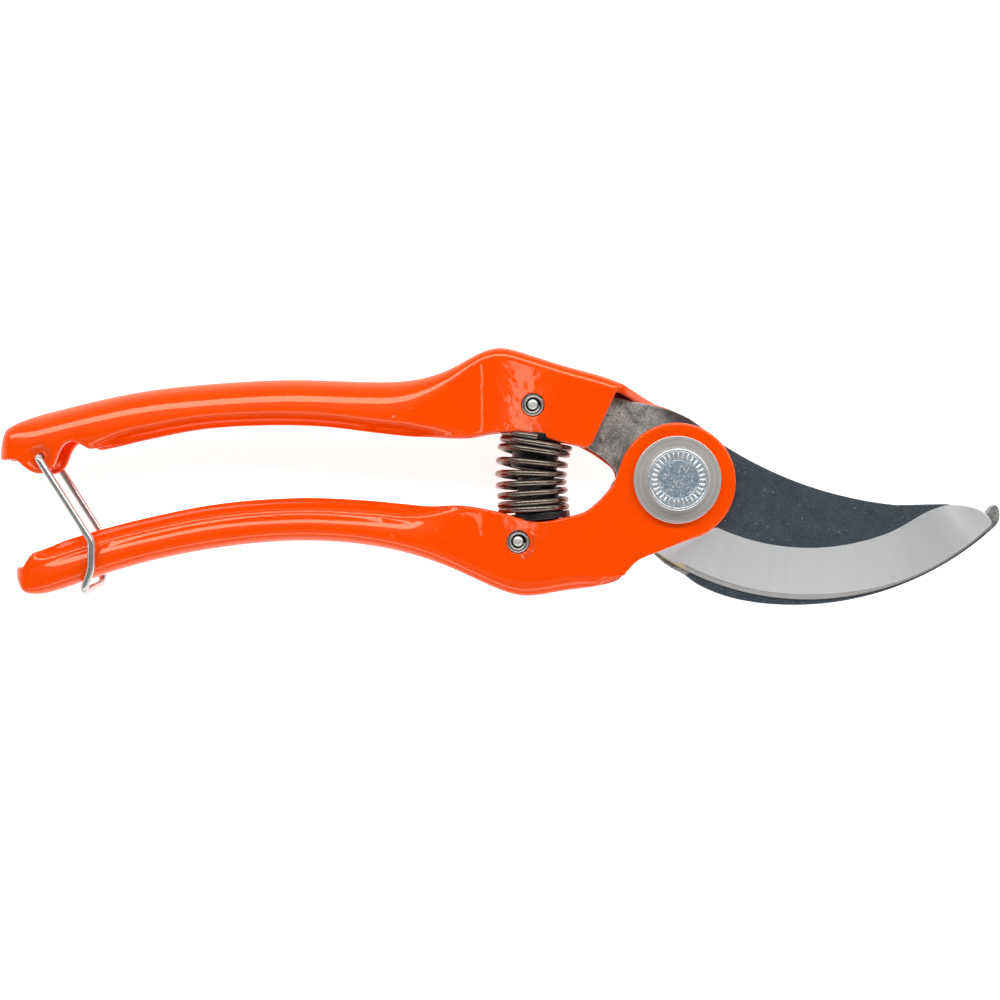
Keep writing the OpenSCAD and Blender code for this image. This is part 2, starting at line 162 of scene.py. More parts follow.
def smooth_path(points, step):
    """A Catmull-Rom curve through the points, resampled."""
    p = np.array(points, float)
    p = np.vstack([2 * p[0] - p[1], p, 2 * p[-1] - p[-2]])
    out = []
    for a, b, c, d in zip(p, p[1:], p[2:], p[3:]):
        for t in np.linspace(0, 1, 16, endpoint=False):
            out.append(0.5 * (2 * b + (c - a) * t + (2 * a - 5 * b + 4 * c - d) * t ** 2
                              + (3 * b - a - 3 * c + d) * t ** 3))
    return resample(out + [p[-2]], step)


def circle_centre(a, b, c):
    a, b, c = (np.array(q, float) for q in (a, b, c))
    m = 2 * np.array([b - a, c - a])
    return np.linalg.solve(m, [b @ b - a @ a, c @ c - a @ a])


def arc3(a, b, c, step):
    """Points along the arc from a through b to c, which is less than half a circle."""
    o = circle_centre(a, b, c)
    r = math.dist(a, o)
    start = math.atan2(a[1] - o[1], a[0] - o[0])
    turn = math.atan2(c[1] - o[1], c[0] - o[0]) - start
    turn = (turn + math.pi) % (2 * math.pi) - math.pi
    t = start + np.linspace(0, turn, max(3, round(abs(turn) * r / step) + 1))
    return np.column_stack([o[0] + r * np.cos(t), o[1] + r * np.sin(t)])


def arc(centre, r, start, stop, step):
    """Points along an arc given by its angles in degrees."""
    t = np.radians(np.linspace(start, stop, max(3, round(abs(math.radians(stop - start)) * r / step) + 1)))
    return np.column_stack([centre[0] + r * np.cos(t), centre[1] + r * np.sin(t)])


def ring_loop(centre, r, count=40):
    return arc(centre, r, 0, 360, 2 * math.pi * r / count)[:-1]


def joined(*lines):
    """Lines end to end as one line, without the doubled points."""
    p = np.vstack(lines)
    keep = np.concatenate([[True], np.linalg.norm(np.diff(p, axis=0), axis=1) > 0.02])
    return p[keep]


def unit(v):
    return v / np.maximum(np.linalg.norm(v, axis=-1, keepdims=True), 1e-12)


# ---- mesh building ----

def add_object(name, verts, faces, normals, slots, materials):
    """A mesh object from points in mm, with a normal for each corner of each face."""
    mesh = bpy.data.meshes.new(name)
    mesh.from_pydata((np.asarray(verts) * MM).tolist(), [], faces)
    for m in materials:
        mesh.materials.append(m)
    mesh.polygons.foreach_set("material_index", slots)
    mesh.polygons.foreach_set("use_smooth", [True] * len(faces))
    if normals is not None:
        mesh.normals_split_custom_set(np.asarray(normals).tolist())
    mesh.update()
    o = bpy.data.objects.new(name, mesh)
    bpy.context.scene.collection.objects.link(o)
    return o


def sharp_object(name, verts, faces, material, degrees):
    """A smooth mesh object whose edges over an angle stay sharp."""
    o = add_object(name, verts, faces, None, [0] * len(faces), [material])
    o.data.set_sharp_from_angle(angle=math.radians(degrees))
    return o


def inside(points, loops):
    """Whether each point is within the first loop and outside the others."""
    odd = np.zeros(len(points), bool)
    for loop in loops:
        a, b = loop, np.roll(loop, -1, axis=0)
        x, y = points[:, 0][:, None], points[:, 1][:, None]
        over = (a[:, 1] > y) != (b[:, 1] > y)
        run = np.where(b[:, 1] == a[:, 1], 1, b[:, 1] - a[:, 1])
        hit = over & (x < (b[:, 0] - a[:, 0]) * (y - a[:, 1]) / run + a[:, 0])
        odd ^= hit.sum(axis=1) % 2 == 1
    return odd


def clear_of(points, others, gap):
    """The points that keep a distance from all the others."""
    keep = np.ones(len(points), bool)
    for start in range(0, len(others), 400):
        d = np.linalg.norm(points[:, None] - others[None, start:start + 400], axis=2)
        keep &= d.min(axis=1) > gap
    return points[keep]


def wound(loop, ccw):
    """The loop, turned round if it doesn't run counterclockwise, or clockwise, as asked."""
    x, y = loop.T
    area = (x * np.roll(y, -1) - np.roll(x, -1) * y).sum()
    return loop if (area > 0) == ccw else loop[::-1]


ROUND_STEPS = 3
TINY_AREA = 1e-7
CDT_EPSILON = 1e-5


def kept_edges(loops, lines):
    """The edges that the triangles have to follow: round each loop and along each line."""
    edges = []
    base = 0
    for k, path in enumerate(loops + lines):
        n = len(path)
        last = n if k < len(loops) else n - 1
        edges += [(base + j, base + (j + 1) % n) for j in range(last)]
        base += n
    return edges


def triangulate(loops, lines, dots, gap):
    """Flat points, counterclockwise triangles, and where each point of the loops ended up."""
    border = np.vstack(loops + lines)
    dots = clear_of(dots[inside(dots, loops)], border, gap)
    points = [Vector(p) for p in np.vstack([border, dots])]
    flat, _, tris, origin, _, _ = geometry.delaunay_2d_cdt(
        points, kept_edges(loops, lines), [], 0, CDT_EPSILON, True)
    flat = np.array([tuple(v) for v in flat])
    place_of = {i: k for k, found in enumerate(origin) for i in found}
    tris = np.array([tuple(t) for t in tris])
    tris = tris[inside(flat[tris].mean(axis=1), loops)]
    spread = flat[tris][:, 1:] - flat[tris][:, :1]
    area = spread[:, 0, 0] * spread[:, 1, 1] - spread[:, 0, 1] * spread[:, 1, 0]
    tris = tris[np.abs(area) > TINY_AREA]
    area = area[np.abs(area) > TINY_AREA]
    tris[area < 0] = tris[area < 0][:, ::-1]
    return flat, tris, place_of


def hand_of(outer, inner, tris):
    """1 if counterclockwise triangles look out of the outer skin, or -1 if clockwise ones do."""
    face = np.cross(outer[tris[:, 1]] - outer[tris[:, 0]], outer[tris[:, 2]] - outer[tris[:, 0]])
    up = outer[tris].mean(axis=1) - inner[tris].mean(axis=1)
    return 1 if (face * up).sum() > 0 else -1


def rim_rows(outer, inner, radius, closed, hand):
    """Rows of points and normals of a rounded rim, from the outer skin's border to the inner's."""
    d = unit(outer - inner)
    middle = (outer + inner) / 2
    if closed:
        along = np.roll(middle, -1, axis=0) - np.roll(middle, 1, axis=0)
    else:
        along = np.gradient(middle, axis=0)
    b = hand * unit(np.cross(unit(along), d))
    r = np.minimum(radius, 0.45 * np.linalg.norm(outer - inner, axis=1))[:, None]
    rows, normals = [], []
    for border, side in ((outer, 1), (inner, -1)):
        for k in range(ROUND_STEPS + 1)[::side]:
            t = math.pi / 2 * k / ROUND_STEPS
            rows.append(border - r * b + r * math.sin(t) * b - side * r * (1 - math.cos(t)) * d)
            normals.append(side * math.cos(t) * d + math.sin(t) * b)
    return rows, normals


def rim_quads(rows, count, closed, hand):
    """The corners (row, column) of each face between a rim's rows."""
    for k in range(rows - 1):
        for j in range(count if closed else count - 1):
            j2 = (j + 1) % count
            yield [(k, j), (k + 1, j), (k + 1, j2), (k, j2)][::hand]


def seam_twins(place_of, length, seam, count):
    """Which points to put in place of others, so that the two sides of a folded seam are joined."""
    along = [place_of[k] for k in range(length - seam, length)] + [place_of[0]]
    twin = {}
    for a, b in zip(along, reversed(along)):
        if a != b and b not in twin:
            twin[a] = b
            twin[a + count] = b + count
    rim = length - seam + 1
    for k in range(2 * ROUND_STEPS):
        twin[2 * count + k * rim + rim - 1] = 2 * count + k * rim
    return twin


def shell(name, loops, dots, skin, normal, rim, materials, seam=0, lines=(), slot_of=None, gap=0.4):
    """A closed shell over a flat region: two skins and rounded rims along its loops.
    skin(p, k) gives the points of skin k, 0 outer and 1 inner, and normal(p, c, k) their normals,
    where c are the middles of the faces. The first loop's last seam points lie on a seam that
    folds onto itself, and get no rim."""
    first = loops[0] if seam else wound(loops[0], True)
    loops = [first] + [wound(q, False) for q in loops[1:]]
    flat, tris, place_of = triangulate(loops, list(lines), dots, gap)
    outer, inner = skin(flat, 0), skin(flat, 1)
    hand = hand_of(outer, inner, tris)
    count = len(flat)
    verts = [outer, inner]
    faces, normals, slots = [], [], []
    middle = flat[tris].mean(axis=1)
    for k, order in ((0, hand), (1, -hand)):
        t = tris[:, ::order]
        faces += (t + k * count).tolist()
        normals.append(normal(flat[t.ravel()], np.repeat(middle, 3, axis=0), k))
        slots += slot_of(middle, k).tolist() if slot_of else [0] * len(t)

    rims = rim if isinstance(rim, list) else [rim] * len(loops)
    rim_middle = []
    base = 2 * count
    start = 0
    for number, loop in enumerate(loops):
        closed = not (seam and number == 0)
        used = len(loop) if closed else len(loop) - seam + 1
        index = np.array([place_of[start + k] for k in range(used)])
        start += len(loop)
        rows, row_normals = rim_rows(outer[index], inner[index], rims[number], closed, hand)
        outer[index] = rows[0]
        inner[index] = rows[-1]
        verts += rows[1:-1]
        between = [base + k * used + np.arange(used) for k in range(len(rows) - 2)]
        base += used * len(between)
        ids = [index] + between + [index + count]
        for quad in rim_quads(len(ids), used, closed, hand):
            faces.append([int(ids[k][j]) for k, j in quad])
            normals.append([row_normals[k][j] for k, j in quad])
            rim_middle.append(flat[index[quad[::hand][0][1]]])
    slots += slot_of(np.array(rim_middle), 2).tolist() if slot_of else [0] * len(rim_middle)

    if seam:
        twin = seam_twins(place_of, len(loops[0]), seam, count)
        faces = [[twin.get(v, v) for v in f] for f in faces]
    return tidy_object(name, np.vstack(verts), faces, np.vstack(normals), slots, materials)


def band_faces(rows, count, out=True):
    """Faces between rows of count points, each row closed in itself."""
    faces = []
    for k in range(rows - 1):
        for j in range(count):
            j1 = (j + 1) % count
            low, high = k * count, (k + 1) * count
            face = [low + j, high + j, high + j1, low + j1]
            faces.append(face if out else [face[0]] + face[:0:-1])
    return faces


def tidy_object(name, verts, faces, normals, slots, materials):
    """Drops collapsed faces and unused points, and makes the object."""
    kept, corner, kept_normals, kept_slots = [], 0, [], []
    for f, s in zip(faces, slots):
        n = normals[corner:corner + len(f)]
        corner += len(f)
        new, new_n = [], []
        for v, q in zip(f, n):
            if v not in new:
                new.append(v)
                new_n.append(q)
        if len(new) > 2:
            kept.append(new)
            kept_normals += new_n
            kept_slots.append(s)
    used = sorted({v for f in kept for v in f})
    number = {v: k for k, v in enumerate(used)}
    kept = [[number[v] for v in f] for f in kept]
    return add_object(name, verts[used], kept, kept_normals, kept_slots, materials)


# ---- handles ----

UPPER_END = box_mm("upper_handle")[0][0]
LOWER_END = box_mm("lower_handle")[0][0]
UPPER_BACK = [
    [-134, 6.6], [-133.4, 8.7], [-132.2, 10.3], [-130, 11.5], [-123, 13.8], [-107, 17.4],
    [-91, 19.2], [-75, 19.9], [-60, 19.5], [-51, 20.1], [-44, 22.5], [-39, 25.2], [-35, 26.2],
    [-31, 25.4], [-21, 22.3], [-11, 19.2], [-3, 15.5], [4, 14.4], [14, 14.2],
]
UPPER_EDGE = [
    [-134, 3.8], [-130.4, 3.8], [-128.9, 2.6], [-127.4, 1.6], [-125.8, 1.2], [-124.2, 1.6],
    [-122.8, 3], [-121.8, 5.6], [-120.6, 7.2], [-119.4, 7.6], [-118, 7], [-115.6, 5.9],
    [-107, 7.9], [-95, 10.2], [-83, 11], [-71, 10.8], [-59, 9.4], [-50, 8.5], [-42, 8.3],
    [-36, 9.3], [-31, 9.35], [-23, 7.4], [-17, 6.2], [-11, 6.2], [-3, 6.2],
]
LOWER_BACK = [
    [-130.8, 20.4], [-129.6, 21.8], [-128, 22.5], [-126, 22.6], [-122, 21.7], [-116, 19.6],
    [-107, 16.8], [-91, 13.5], [-76, 12.1], [-63, 12.7], [-51, 15.2], [-43, 18.2], [-35, 21.8],
    [-31, 22.9], [-23, 22.1], [-15, 20.9], [-12, 20], [-10, 18.9], [-8, 17.4], [-3, 15.2], [14, 15],
]
LOWER_EDGE = [
    [-130.8, 17.2], [-129.2, 17], [-128.2, 15.4], [-127, 14.2], [-119, 11.3], [-107, 8],
    [-91, 4.8], [-75, 3.6], [-63, 4], [-51, 5], [-43, 5], [-35, 6.4], [-31, 7.6], [-27, 8.1],
    [-23, 7.7], [-17, 6.6], [-11, 6.6], [-3, 6.6],
]
SHORT_WALL_END = [[-17.2, 6.2], [-10.6, 20.4]]

NOSE_R = 3.6
LIP_H = 3.2
LIP_IN = 4.2
LIP_POWER = 2.2
RIM = 0.55
HOLE_RIM = 0.18
DOT_GAP = 0.85
RIM_STEP = 0.8
FINE_STEP = 0.45
FINE_TO = -112
NOSE_POINTS = 14
NECK_END = -24.0
GRIP_TO_HEAD = (-58, -38)
LIP_TO_HEAD = (-55, -38.5)


class Channel:
    """One pressed handle, drawn with its back up and its long wall at minus Z. A point of the
    sheet is (t, s): t runs along X, and round the nose to the middle of the end face, and s runs
    from the middle of the back down the short wall, or down the long wall where it is negative."""

    def __init__(self, back, edge, end, lip, corner, bulge, eye, web_end, shoulder, neck, holes,
                 flip, dent=None):
        self.back, self.edge, self.end, self.lip = back, edge, end, lip
        self.corner, self.bulge = corner, bulge
        self.eye, self.web_end, self.shoulder, self.neck = eye, web_end, shoulder, neck
        self.holes, self.flip, self.dent = holes, flip, dent
        self.nose = end + NOSE_R
        self.face = GRIP_HALF - NOSE_R
        self.t0 = self.nose - NOSE_R * math.pi / 2 - self.face

    def fields(self, t, side):
        """Sizes of the section at t."""
        f = SimpleNamespace()
        turn = np.clip((t - self.t0 - self.face) / NOSE_R, 0, math.pi / 2)
        flat = np.clip(t - self.t0, 0, self.face)
        x = np.where(t >= self.nose, t, self.end + NOSE_R * (1 - np.cos(turn)))
        head = ramp(x, *GRIP_TO_HEAD)
        full = GRIP_HALF + (HEAD_HALF - GRIP_HALF) * head
        f.x, f.head, f.main = x, head, t >= self.nose
        f.half = np.where(f.main, full, flat + NOSE_R * np.sin(turn))
        inner_r = NOSE_R - SHEET
        f.half_in = np.where(f.main, full - SHEET, flat + inner_r * np.sin(turn))
        f.x_in = np.where(f.main, x, self.end + SHEET + inner_r * (1 - np.cos(turn)))
        f.y1 = spline(self.back, x)
        f.y1_in = spline(self.back, f.x_in) - SHEET
        f.y0 = hermite(self.edge, x)
        tall = f.y1 - f.y0
        # the corners of the back are tight at the end face, and sharp where the back stops
        (grip_r, grip_ry), (head_r, head_ry) = self.corner
        near_end = 0.28 + 0.72 * ramp(x, self.end - 1.5, self.end + 8)
        near_web = np.where(side < 0, 1 - 0.93 * ramp(x, self.web_end - 10, self.web_end), 1)
        f.r = np.minimum((grip_r + (head_r - grip_r) * head) * near_end * near_web, 0.98 * f.half)
        f.ry = (grip_ry + (head_ry - grip_ry) * head) * near_end * near_web
        # the open edge is rolled inwards as a lip along the grip, and the walls belly a little
        f.lip_h = np.minimum(LIP_H * (1 - 0.4 * ramp(x, *LIP_TO_HEAD)), 0.4 * np.maximum(tall, 1))
        f.deep = LIP_IN * ramp(x, *self.lip) * (1 - ramp(x, *LIP_TO_HEAD)) ** 1.3
        f.bulge = self.bulge * ramp(x, self.end, self.end + 10) * (1 - ramp(x, *LIP_TO_HEAD))
        f.a = f.half - f.r
        f.b = (f.r + f.ry) * math.pi / 4
        return f

    @staticmethod
    def across(f, y):
        """How far along the sheet, from the middle of the back, height y is reached."""
        drop = f.y1 - y
        turn = np.arccos(np.clip(1 - drop / f.ry, -1, 1))
        return np.where(drop < f.ry, f.a + f.b * turn * 2 / math.pi, f.a + f.b + drop - f.ry)

    def length(self, t, side):
        """How far the sheet reaches from the middle of the back to the open edge."""
        f = self.fields(t, side)
        return self.across(f, f.y0)

    def on_wall(self, points, side):
        """(t, s) of points given as (x, y) on a wall."""
        x, y = np.asarray(points, float).T
        f = self.fields(x, np.full(len(x), side))
        return np.column_stack([x, side * self.across(f, y)])

    def wall_top(self, x, side):
        f = self.fields(np.array([float(x)]), np.array([side]))
        return (f.y1 - f.ry)[0]

    def local(self, p, k):
        """Points of the outer skin, or of the inner one, before the handle is put in place."""
        t, s = p[:, 0], p[:, 1]
        side = np.where(s >= 0, 1.0, -1.0)
        w = np.abs(s)
        f = self.fields(t, side)
        half = f.half_in if k else f.half
        top = f.y1_in if k else f.y1
        r = np.clip(f.r - SHEET, np.minimum(0.3, 0.9 * half), None) if k else f.r
        r = np.minimum(r, half)
        ry = np.maximum(f.ry - SHEET, 0.3) if k else f.ry
        a = half - r
        turn = np.clip((w - f.a) / f.b, 0, 1) * math.pi / 2
        down = np.maximum(w - f.a - f.b, 0)
        outer_y = f.y1 - f.ry + f.ry * np.cos(turn) - down
        lip_top = f.y0 + f.lip_h
        room = np.maximum(f.y1 - f.ry - lip_top, 0.5)
        u = np.clip((lip_top - outer_y) / f.lip_h, 0, 1)
        y = top - ry + ry * np.cos(turn) - down
        if k:
            # the inner skin's wall starts lower than the outer one's and ends level with it
            reach = np.where(f.main & (t > self.nose + 3), 3.0, f.y1 - f.ry - f.y0)
            reach = np.maximum(reach, 0.5)
            y = y + (f.y1 - f.ry - top + ry) * np.clip(down / reach, 0, 1)
        z = np.where(w < f.a, a * w / np.maximum(f.a, 1e-6), a + r * np.sin(turn))
        z = z - f.bulge * np.clip(down / room, 0, 1) ** 2
        curl = f.deep / LIP_IN * SHEET * k
        fall = u ** LIP_POWER
        y = y + curl * u
        z = z - (f.deep - curl) * fall
        x = f.x_in if k else f.x
        if self.dent is not None:
            z = z - self.dent(x, y)
        return np.column_stack([x, y, side * z])

    def skin(self, p, k):
        q = self.local(p, k)
        if self.flip:
            q = q * [1, -1, -1]
        return q + [0, 0, MID_Z]

    def normal(self, p, c, k):
        e = 0.02
        at = np.column_stack([p[:, 0], np.where(np.abs(p[:, 1]) < 2 * e, 0.0, p[:, 1])])
        dt = self.skin(at + [e, 0], k) - self.skin(at - [e, 0], k)
        ds = self.skin(at + [0, e], k) - self.skin(at - [0, e], k)
        n = np.cross(dt, ds)
        sizes = np.linalg.norm(dt, axis=1) * np.linalg.norm(ds, axis=1)
        # the sheet's lines run together at the top of the end face, which looks along X
        lost = np.linalg.norm(n, axis=1) < np.maximum(0.05 * sizes, 1e-7)
        n = np.where(lost[:, None], [-1.0, 0, 0], unit(n))
        out = self.skin(at, 0) - self.skin(at, 1)
        sign = np.where((n * out).sum(axis=1) < 0, -1, 1) * (-1 if k else 1)
        return n * sign[:, None]

    def stations(self):
        return np.concatenate([
            np.linspace(self.t0, self.t0 + self.face, 6)[1:],
            np.linspace(self.t0 + self.face, self.nose, 9)[1:],
            np.arange(self.nose + 0.7, FINE_TO, 0.7), np.arange(FINE_TO + 1, -60, 1.5),
            np.arange(-59, -28, 1.0), np.arange(-27, EYE_R, 1.4),
        ])

    def dots(self):
        out = []
        for side in (1, -1):
            for t in self.stations():
                f = self.fields(np.array([t]), np.array([side]))
                a, b = f.a[0], f.b[0]
                deepest = self.across(f, f.y0 if t < -26 else -EYE_R)[0]
                lipped = f.deep[0] > 0
                lip_from = self.across(f, f.y0 + f.lip_h)[0] if lipped else deepest
                rows = np.concatenate([
                    np.linspace(0, a, 5)[0 if side > 0 else 1:],
                    a + b * np.linspace(0, 1, 13)[1:],
                    np.arange(a + b + 0.7, max(lip_from, a + b + 0.7), 0.9),
                    np.linspace(lip_from, deepest, 11)[:-1] if lipped else [],
                ])
                rows = np.unique(np.round(rows, 3))
                close = np.concatenate([[True], np.diff(rows) > 0.15])
                out += [(t, side * s) for s in rows[close]]
        return np.array(out)

    def short_wall(self):
        """The rim along the short wall, from the seam to where its slanted end meets the back."""
        start, top = (np.array(p) for p in SHORT_WALL_END)
        stops = np.concatenate([
            np.linspace(self.t0, self.nose, NOSE_POINTS),
            np.arange(self.nose + FINE_STEP, FINE_TO, FINE_STEP), np.arange(FINE_TO + 0.5, -19.0, 1.0)])
        near = np.column_stack([stops, self.length(stops, np.ones(len(stops)))])
        foot = self.on_wall([start], 1)[0]
        meet = start
        for _ in range(20):
            y = self.wall_top(meet[0], 1)
            meet = start + (top - start) * (y - start[1]) / (top[1] - start[1])
        slant = self.on_wall(resample([start, meet], RIM_STEP), 1)
        before_x = foot[0] - 1.2
        before = np.array([before_x, self.length(np.array([before_x]), np.ones(1))[0]])
        t = np.linspace(0, 1, 6)[:, None]
        turn = (1 - t) ** 2 * before + 2 * t * (1 - t) * foot + t * t * slant[2]
        return [near[near[:, 0] < before_x - 0.3], turn, slant[3:]]

    def long_wall(self):
        """The rim round the eye and back along the long wall to the seam."""
        web_top = [self.web_end, self.wall_top(self.web_end, -1)]
        ring = arc((0, EYE_UP), EYE_R, *self.eye, RIM_STEP)
        shoulder = smooth_path([web_top] + self.shoulder + [ring[0]], RIM_STEP)
        neck_y = float(hermite(self.edge, np.array([NECK_END]))[0])
        neck = smooth_path([ring[-1]] + self.neck + [[NECK_END, neck_y]], RIM_STEP)
        far = self.on_wall(joined(shoulder, ring, neck), -1)
        stops = np.concatenate([
            np.arange(NECK_END - 1, FINE_TO, -1.0), np.arange(FINE_TO - 0.4, self.nose, -FINE_STEP),
            np.linspace(self.nose, self.t0, NOSE_POINTS)])
        home = np.column_stack([stops, -self.length(stops, -np.ones(len(stops)))])
        return [far, home]

    def outline(self):
        """The sheet's outer loop, ending with the points along the seam in the end face."""
        short = self.short_wall()
        over = self.on_wall([[self.web_end, self.wall_top(self.web_end, -1)]], -1)[0]
        across = resample([short[-1][-1], over], RIM_STEP)
        rim = joined(*short, across, *self.long_wall())
        tall = rim[0][1]
        seam = np.linspace(-tall, tall, 9)[1:-1]
        points = np.column_stack([np.full(len(seam), self.t0), seam])
        return np.vstack([rim, points]), len(points)

    def make(self, name, materials):
        loop, seam = self.outline()
        loops = [loop]
        for centre, r, sides in self.holes:
            for side in sides:
                loops.append(self.on_wall(ring_loop(centre, r, 32), side))
        # a loop that runs the other way round in (t, s) is turned, seam and all
        x, y = loop.T
        if (x * np.roll(y, -1) - np.roll(x, -1) * y).sum() < 0:
            rim = loop[:len(loop) - seam][::-1]
            loops[0] = np.vstack([rim, loop[len(loop) - seam:][::-1]])
        rims = [RIM] + [HOLE_RIM] * (len(loops) - 1)
        return shell(name, loops, self.dots(), self.skin, self.normal, rims, materials, seam=seam + 1,
                     gap=DOT_GAP)


DENT_R = 3.1
DENT_DEEP = 1.1


def ear_dent(x, y):
    """The cone pressed into each ear round the catch's hole."""
    d = np.hypot(x - CATCH_AT[0], y - CATCH_AT[1])
    return DENT_DEEP * (1 - ramp(d, 0.7, DENT_R))


CATCH_HOLE_R = 0.85
upper_channel = Channel(
    UPPER_BACK, UPPER_EDGE, UPPER_END, lip=(-120.5, -107),
    corner=((4.6, 7.4), (1.8, 2.4)), bulge=0.0, eye=(60, -173), web_end=-3.6,
    shoulder=[[-1, 14.7], [1, 13.8], [3.4, 12.6]],
    neck=[[-12.2, 1.9], [-14.6, 4], [-17.2, 5.7], [-20, 7]],
    holes=[((0, 0), BOLT_R, (-1,)), (UPPER_PIN[:2], PIN_R + 0.03, (1, -1)),
           (CATCH_AT[:2], CATCH_HOLE_R, (1, -1))],
    flip=False, dent=ear_dent)
lower_channel = Channel(
    LOWER_BACK, LOWER_EDGE, LOWER_END, lip=(-129, -122),
    corner=((3.0, 2.4), (1.8, 3.2)), bulge=1.05, eye=(66, -163), web_end=-10,
    shoulder=[[-8, 16.5], [-6, 15.4], [-3.4, 14.4]],
    neck=[[-12.4, 0.4], [-14.3, 2.9], [-16.8, 5.3], [-19, 6.6]],
    holes=[((0, 0), BOLT_R + 0.05, (-1,)), (LOWER_PIN[:2] * [1, -1], PIN_R + 0.03, (1, -1))],
    flip=True)


# ---- round parts ----

def rounded(profile, radius, steps=4):
    """Strips (point, point, normal, normal) of a profile whose inner corners are rounded. The
    profile is a list of (r, h) with the solid on its left."""
    p = [np.array(q, float) for q in profile]
    radii = radius if isinstance(radius, (list, tuple)) else [radius] * len(p)
    strips = []
    last = p[0]
    for k in range(1, len(p)):
        d = unit(p[k] - p[k - 1])
        n = np.array([d[1], -d[0]])
        if k == len(p) - 1:
            strips.append((last, p[k], n, n))
            break
        e = unit(p[k + 1] - p[k])
        angle = math.acos(np.clip(d @ e, -1, 1))
        reach = radii[k] * math.tan(angle / 2)
        reach = min(reach, 0.45 * math.dist(p[k], p[k - 1]), 0.45 * math.dist(p[k], p[k + 1]))
        if angle < 0.02 or reach < 1e-4:
            strips.append((last, p[k], n, n))
            last = p[k]
            continue
        r = reach / math.tan(angle / 2)
        turn = 1 if d[0] * e[1] - d[1] * e[0] > 0 else -1
        o = p[k] - d * reach - turn * n * r
        strips.append((last, p[k] - d * reach, n, n))
        before, before_n = p[k] - d * reach, n
        for j in range(1, steps + 1):
            t = turn * angle * j / steps
            c, q = math.cos(t), math.sin(t)
            now_n = np.array([c * n[0] - q * n[1], q * n[0] + c * n[1]])
            now = o + turn * now_n * r
            strips.append((before, now, before_n, now_n))
            before, before_n = now, now_n
        last = p[k] + e * reach
    return strips


def axis_frame(at, axis, start):
    """Turns (r, angle, h) about an axis at a point into places; start is where angle 0 points."""
    axis = unit(np.array(axis, float))
    u = unit(np.array(start, float) - (np.array(start, float) @ axis) * axis)
    v = np.cross(axis, u)

    def to_place(r, t, h):
        return np.asarray(at) + r * (math.cos(t) * u + math.sin(t) * v) + h * axis
    return to_place


def revolve(name, strips, at, axis, materials, count=96, start=(1, 0, 0), slot_of=None):
    """A turned part: the strips go round the axis. The profile runs with the solid on its left
    as seen with the axis up and r to the right."""
    place_of = axis_frame(at, axis, start)
    zero = np.asarray(at, float)
    verts, faces, normals, slots = [], [], [], []
    number = {}

    def ring_ids(p):
        key = (round(p[0], 5), round(p[1], 5))
        if key not in number:
            number[key] = len(verts)
            for j in range(count):
                verts.append(place_of(p[0], 2 * math.pi * j / count, p[1]))
        base = number[key]
        return [base if p[0] < 1e-6 else base + j for j in range(count)]

    for p0, p1, n0, n1 in strips:
        if math.dist(p0, p1) < 1e-6:
            continue
        a, b = ring_ids(p0), ring_ids(p1)
        for j in range(count):
            t0, t1 = 2 * math.pi * j / count, 2 * math.pi * (j + 1) / count
            j1 = (j + 1) % count
            quad = [(a[j], t0, n0), (a[j1], t1, n0), (b[j1], t1, n1), (b[j], t0, n1)]
            faces.append([q[0] for q in quad])
            normals += [place_of(q[2][0], q[1], q[2][1]) - zero for q in quad]
            slots.append(slot_of((p0 + p1) / 2) if slot_of else 0)
    return tidy_object(name, np.array(verts), faces, normals, slots, materials)


def fillet_path(points, radii, step=0.25):
    """A line through points in space whose corners are arcs."""
    p = [np.array(q, float) for q in points]
    out = [p[0]]
    for k in range(1, len(p) - 1):
        d, e = unit(p[k - 1] - p[k]), unit(p[k + 1] - p[k])
        angle = math.pi - math.acos(np.clip(d @ e, -1, 1))
        reach = radii[k - 1] * math.tan(angle / 2)
        centre = p[k] + unit(d + e) * radii[k - 1] / math.cos(angle / 2)
        a, b = p[k] + d * reach - centre, p[k] + e * reach - centre
        steps = max(4, int(radii[k - 1] * angle / step))
        for j in range(steps + 1):
            f = j / steps
            mixed = math.sin((1 - f) * angle) * a + math.sin(f * angle) * b
            out.append(centre + mixed / math.sin(angle))
    out.append(p[-1])
    return np.array(out)


def tube(name, path, r, sides, material, dome=0.5):
    """A round wire along a path, its ends rounded off by dome times its radius."""
    t = unit(np.gradient(path, axis=0))
    soft = dome * r
    turns = [0.0, math.pi / 6, math.pi / 3]
    last = len(path) - 1
    rings = [(0, -soft * math.cos(a), r - soft * (1 - math.sin(a))) for a in turns]
    rings += [(k, 0.0, r) for k in range(len(path))]
    rings += [(last, soft * math.cos(a), r - soft * (1 - math.sin(a))) for a in turns[::-1]]
    side = np.cross(t[0], [0.3, 0.2, 0.93])
    verts = []
    for k, along, radius in rings:
        side = unit(side - (side @ t[k]) * t[k])
        up = np.cross(t[k], side)
        for j in range(sides):
            a = 2 * math.pi * j / sides
            verts.append(path[k] + along * t[k] + radius * (math.cos(a) * side + math.sin(a) * up))
    faces = band_faces(len(rings), sides, out=False)
    faces.append(list(range(sides))[::-1])
    faces.append([(len(rings) - 1) * sides + j for j in range(sides)])
    return sharp_object(name, verts, faces, material, 50)


# ---- materials ----

RIDGE_R = 3.1


